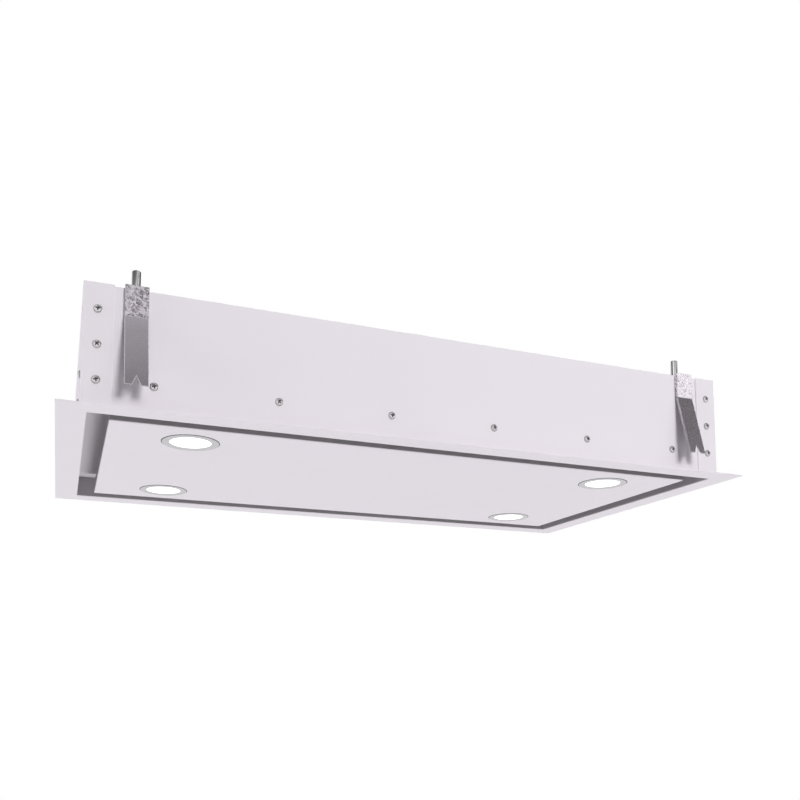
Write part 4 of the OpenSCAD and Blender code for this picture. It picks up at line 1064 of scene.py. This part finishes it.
class HOOD_OT_stage(Operator):
    """Set the floor, the soft light and the camera"""

    bl_idname = "hood.stage"
    bl_label = "Floor, light and camera"

    def execute(self, context):
        stage = context.scene.hood_stage
        context.scene.view_settings.view_transform = "Standard"
        self.floor(stage)
        self.room(context.scene, stage)
        for name, azimuth, height, distance, size, power, in_gloss in (
            ("key_light", 8, 15, 3.0, 0.9, stage.key, False),
            ("front_light", 4, -1.5, 3.0, 0.3, stage.front, False),
            ("right_light", 46, 18, 3.0, 0.9, stage.side, True),
            ("left_light", -84, 4, 2.7, 1.2, stage.fill, False),
        ):
            lamp, way = self.light("AREA", name, azimuth, height, power, in_gloss)
            lamp.data.size = size
            lamp.location = Vector((0.0, 0.0, 50 * MM)) - way * distance
            lamp.visible_camera = False
        sun, _ = self.light("SUN", "low_light", 110, -63, stage.lift, False)
        spread = 38
        sun.data.angle = math.radians(spread)
        self.camera(context.scene, stage)
        return {"FINISHED"}

    def floor(self, stage):
        """A round floor that the eye sees white, and whose edge melts into the room."""
        bm = bmesh.new()
        ring = circle(bm, 0, 0, -stage.floor_drop, stage.floor_radius, stage.floor_steps)
        bm.faces.new(ring)
        mesh = bpy.data.meshes.new("floor")
        bm.to_mesh(mesh)
        bm.free()
        floor = placed("floor", mesh)
        made, tree, shader, place = begin("hood_floor")
        surface = shader.outputs[0].links[0].to_socket
        fill(tree, shader, Base_Color=(0.15, 0.15, 0.15, 1.0), Roughness=0.9, Specular_IOR_Level=0.0)
        away = add(tree, "ShaderNodeVectorMath", {"operation": "LENGTH"}, i0=place).outputs["Value"]
        smooth = {"interpolation_type": "SMOOTHSTEP"}
        near, far = 1.9, stage.floor_radius * 0.9
        fade = mapped(tree, away, near, far, 0.0, 1.0, smooth)
        eye, mirror = self.rays(tree)
        amount = maths(tree, "MAXIMUM", mirror, fade)
        strengths = (1.0, 0.86)
        white, pale = [add(tree, "ShaderNodeEmission", Color=WHITE, Strength=s).outputs[0] for s in strengths]
        shown = add(tree, "ShaderNodeAddShader", i0=shader.outputs[0], i1=pale).outputs[0]
        both = either(tree, amount, either(tree, eye, shader.outputs[0], shown), white)
        tree.links.new(both, surface)
        mesh.materials.append(made)
        floor.visible_shadow = False

    def rays(self, tree):
        """Tells the eye's rays, and those in gloss and glass."""
        ray = tree.nodes.new("ShaderNodeLightPath").outputs
        return ray["Is Camera Ray"], maths(tree, "MAXIMUM", ray["Is Glossy Ray"], ray["Is Transmission Ray"])

    def room(self, scene, stage):
        """Room light, strongest from behind and above. The eye sees white, and gloss and glass see white under
        a dimmer ceiling."""
        world = bpy.data.worlds.new("hood_room")
        scene.world = world
        world.use_nodes = True
        tree = world.node_tree
        tree.nodes.clear()
        direction = tree.nodes.new("ShaderNodeTexCoord").outputs["Generated"]
        axes = add(tree, "ShaderNodeSeparateXYZ", Vector=direction).outputs
        low, high = stage.room_front, stage.room_back
        back = ramp(tree, self.level(tree, axes["Y"]), ((0.5, 0.0), (0.72, 1.0)))
        upper = ramp(tree, self.level(tree, axes["Z"]), ((0.48, 0.0), (0.52, 1.0)))
        tones = [(value, value, value, 1.0) for value in (low, high)]
        behind = blended(tree, maths(tree, "MULTIPLY", back, upper), *tones)
        above = ramp(tree, self.level(tree, axes["Z"]), ((0.72, 0.0), (0.95, high)))
        room = blended(tree, 1.0, behind, above, "LIGHTEN")
        sides = ramp(tree, self.level(tree, axes["X"]), ((0.45, stage.gloss_left), (0.78, stage.gloss_right)))
        height = ramp(tree, axes["Z"], ((0.22, 0.0), (0.45, 1.0)))
        light, gloss, white = [
            add(tree, "ShaderNodeBackground", Color=tone, Strength=1.0).outputs[0]
            for tone in (room, blended(tree, height, WHITE, sides), WHITE)
        ]
        eye, mirror = self.rays(tree)
        seen = either(tree, eye, either(tree, mirror, light, gloss), white)
        out = tree.nodes.new("ShaderNodeOutputWorld")
        tree.links.new(seen, out.inputs["Surface"])

    def level(self, tree, value):
        """Brings -1 to 1 into 0 to 1."""
        return maths(tree, "MULTIPLY_ADD", value, 0.5, 0.5)

    def light(self, kind, name, azimuth, height, power, in_gloss):
        """A light at degrees right of the front and up, aimed at the hood, and the way it shines."""
        data = bpy.data.lights.new(name, kind)
        data.energy = power
        made = placed(name, data)
        made.visible_glossy = in_gloss
        return made, aim(made, -math.radians(azimuth), -math.radians(height))

    def camera(self, scene, stage):
        """The camera, below the hood and left of its middle, its lens shifted up."""
        data = bpy.data.cameras.new("camera")
        data.sensor_width = 36.0
        data.lens = stage.lens
        data.shift_x = stage.shift_x
        data.shift_y = stage.shift_y
        data.clip_start, data.clip_end = 0.01, 100.0
        camera = placed("camera", data)
        camera.location = stage.camera_at
        aim(camera, stage.yaw, stage.pitch)
        scene.camera = camera


PIECES = (
    HOOD_OT_trim_frame,
    HOOD_OT_casing,
    HOOD_OT_screws,
    HOOD_OT_suction_panel,
    HOOD_OT_lamps,
    HOOD_OT_clamps,
    HOOD_OT_grease_filters,
    HOOD_OT_blower,
    HOOD_OT_duct_collar,
    HOOD_OT_electrics,
    HOOD_OT_stage,
)


class HOOD_PT_pieces(Panel):
    """Lists the hood's pieces and its sizes and colours"""

    bl_idname = "HOOD_PT_pieces"
    bl_label = "Ceiling hood"
    bl_space_type = "VIEW_3D"
    bl_region_type = "UI"
    bl_category = "Ceiling hood"

    def draw(self, context):
        for piece in PIECES:
            self.layout.operator(piece.bl_idname)
        for group in (context.scene.hood_sizes, context.scene.hood_colours, context.scene.hood_stage):
            box = self.layout.box()
            for name in group.__annotations__:
                box.prop(group, name)


GROUPS = (("hood_sizes", HoodSizes), ("hood_colours", HoodColours), ("hood_stage", HoodStage))


def register():
    """Registers the classes and hangs their values on the scene."""
    for name, group in GROUPS:
        bpy.utils.register_class(group)
        setattr(bpy.types.Scene, name, PointerProperty(type=group))
    for made in PIECES + (HOOD_PT_pieces,):
        bpy.utils.register_class(made)


def unregister():
    """Takes the classes and their values off again."""
    for made in reversed(PIECES + (HOOD_PT_pieces,)):
        bpy.utils.unregister_class(made)
    for name, group in reversed(GROUPS):
        delattr(bpy.types.Scene, name)
        bpy.utils.unregister_class(group)


def main():
    """Builds every piece in turn."""
    register()
    for piece in PIECES:
        group, name = piece.bl_idname.split(".")
        getattr(getattr(bpy.ops, group), name)()


if __name__ == "__main__":
    main()
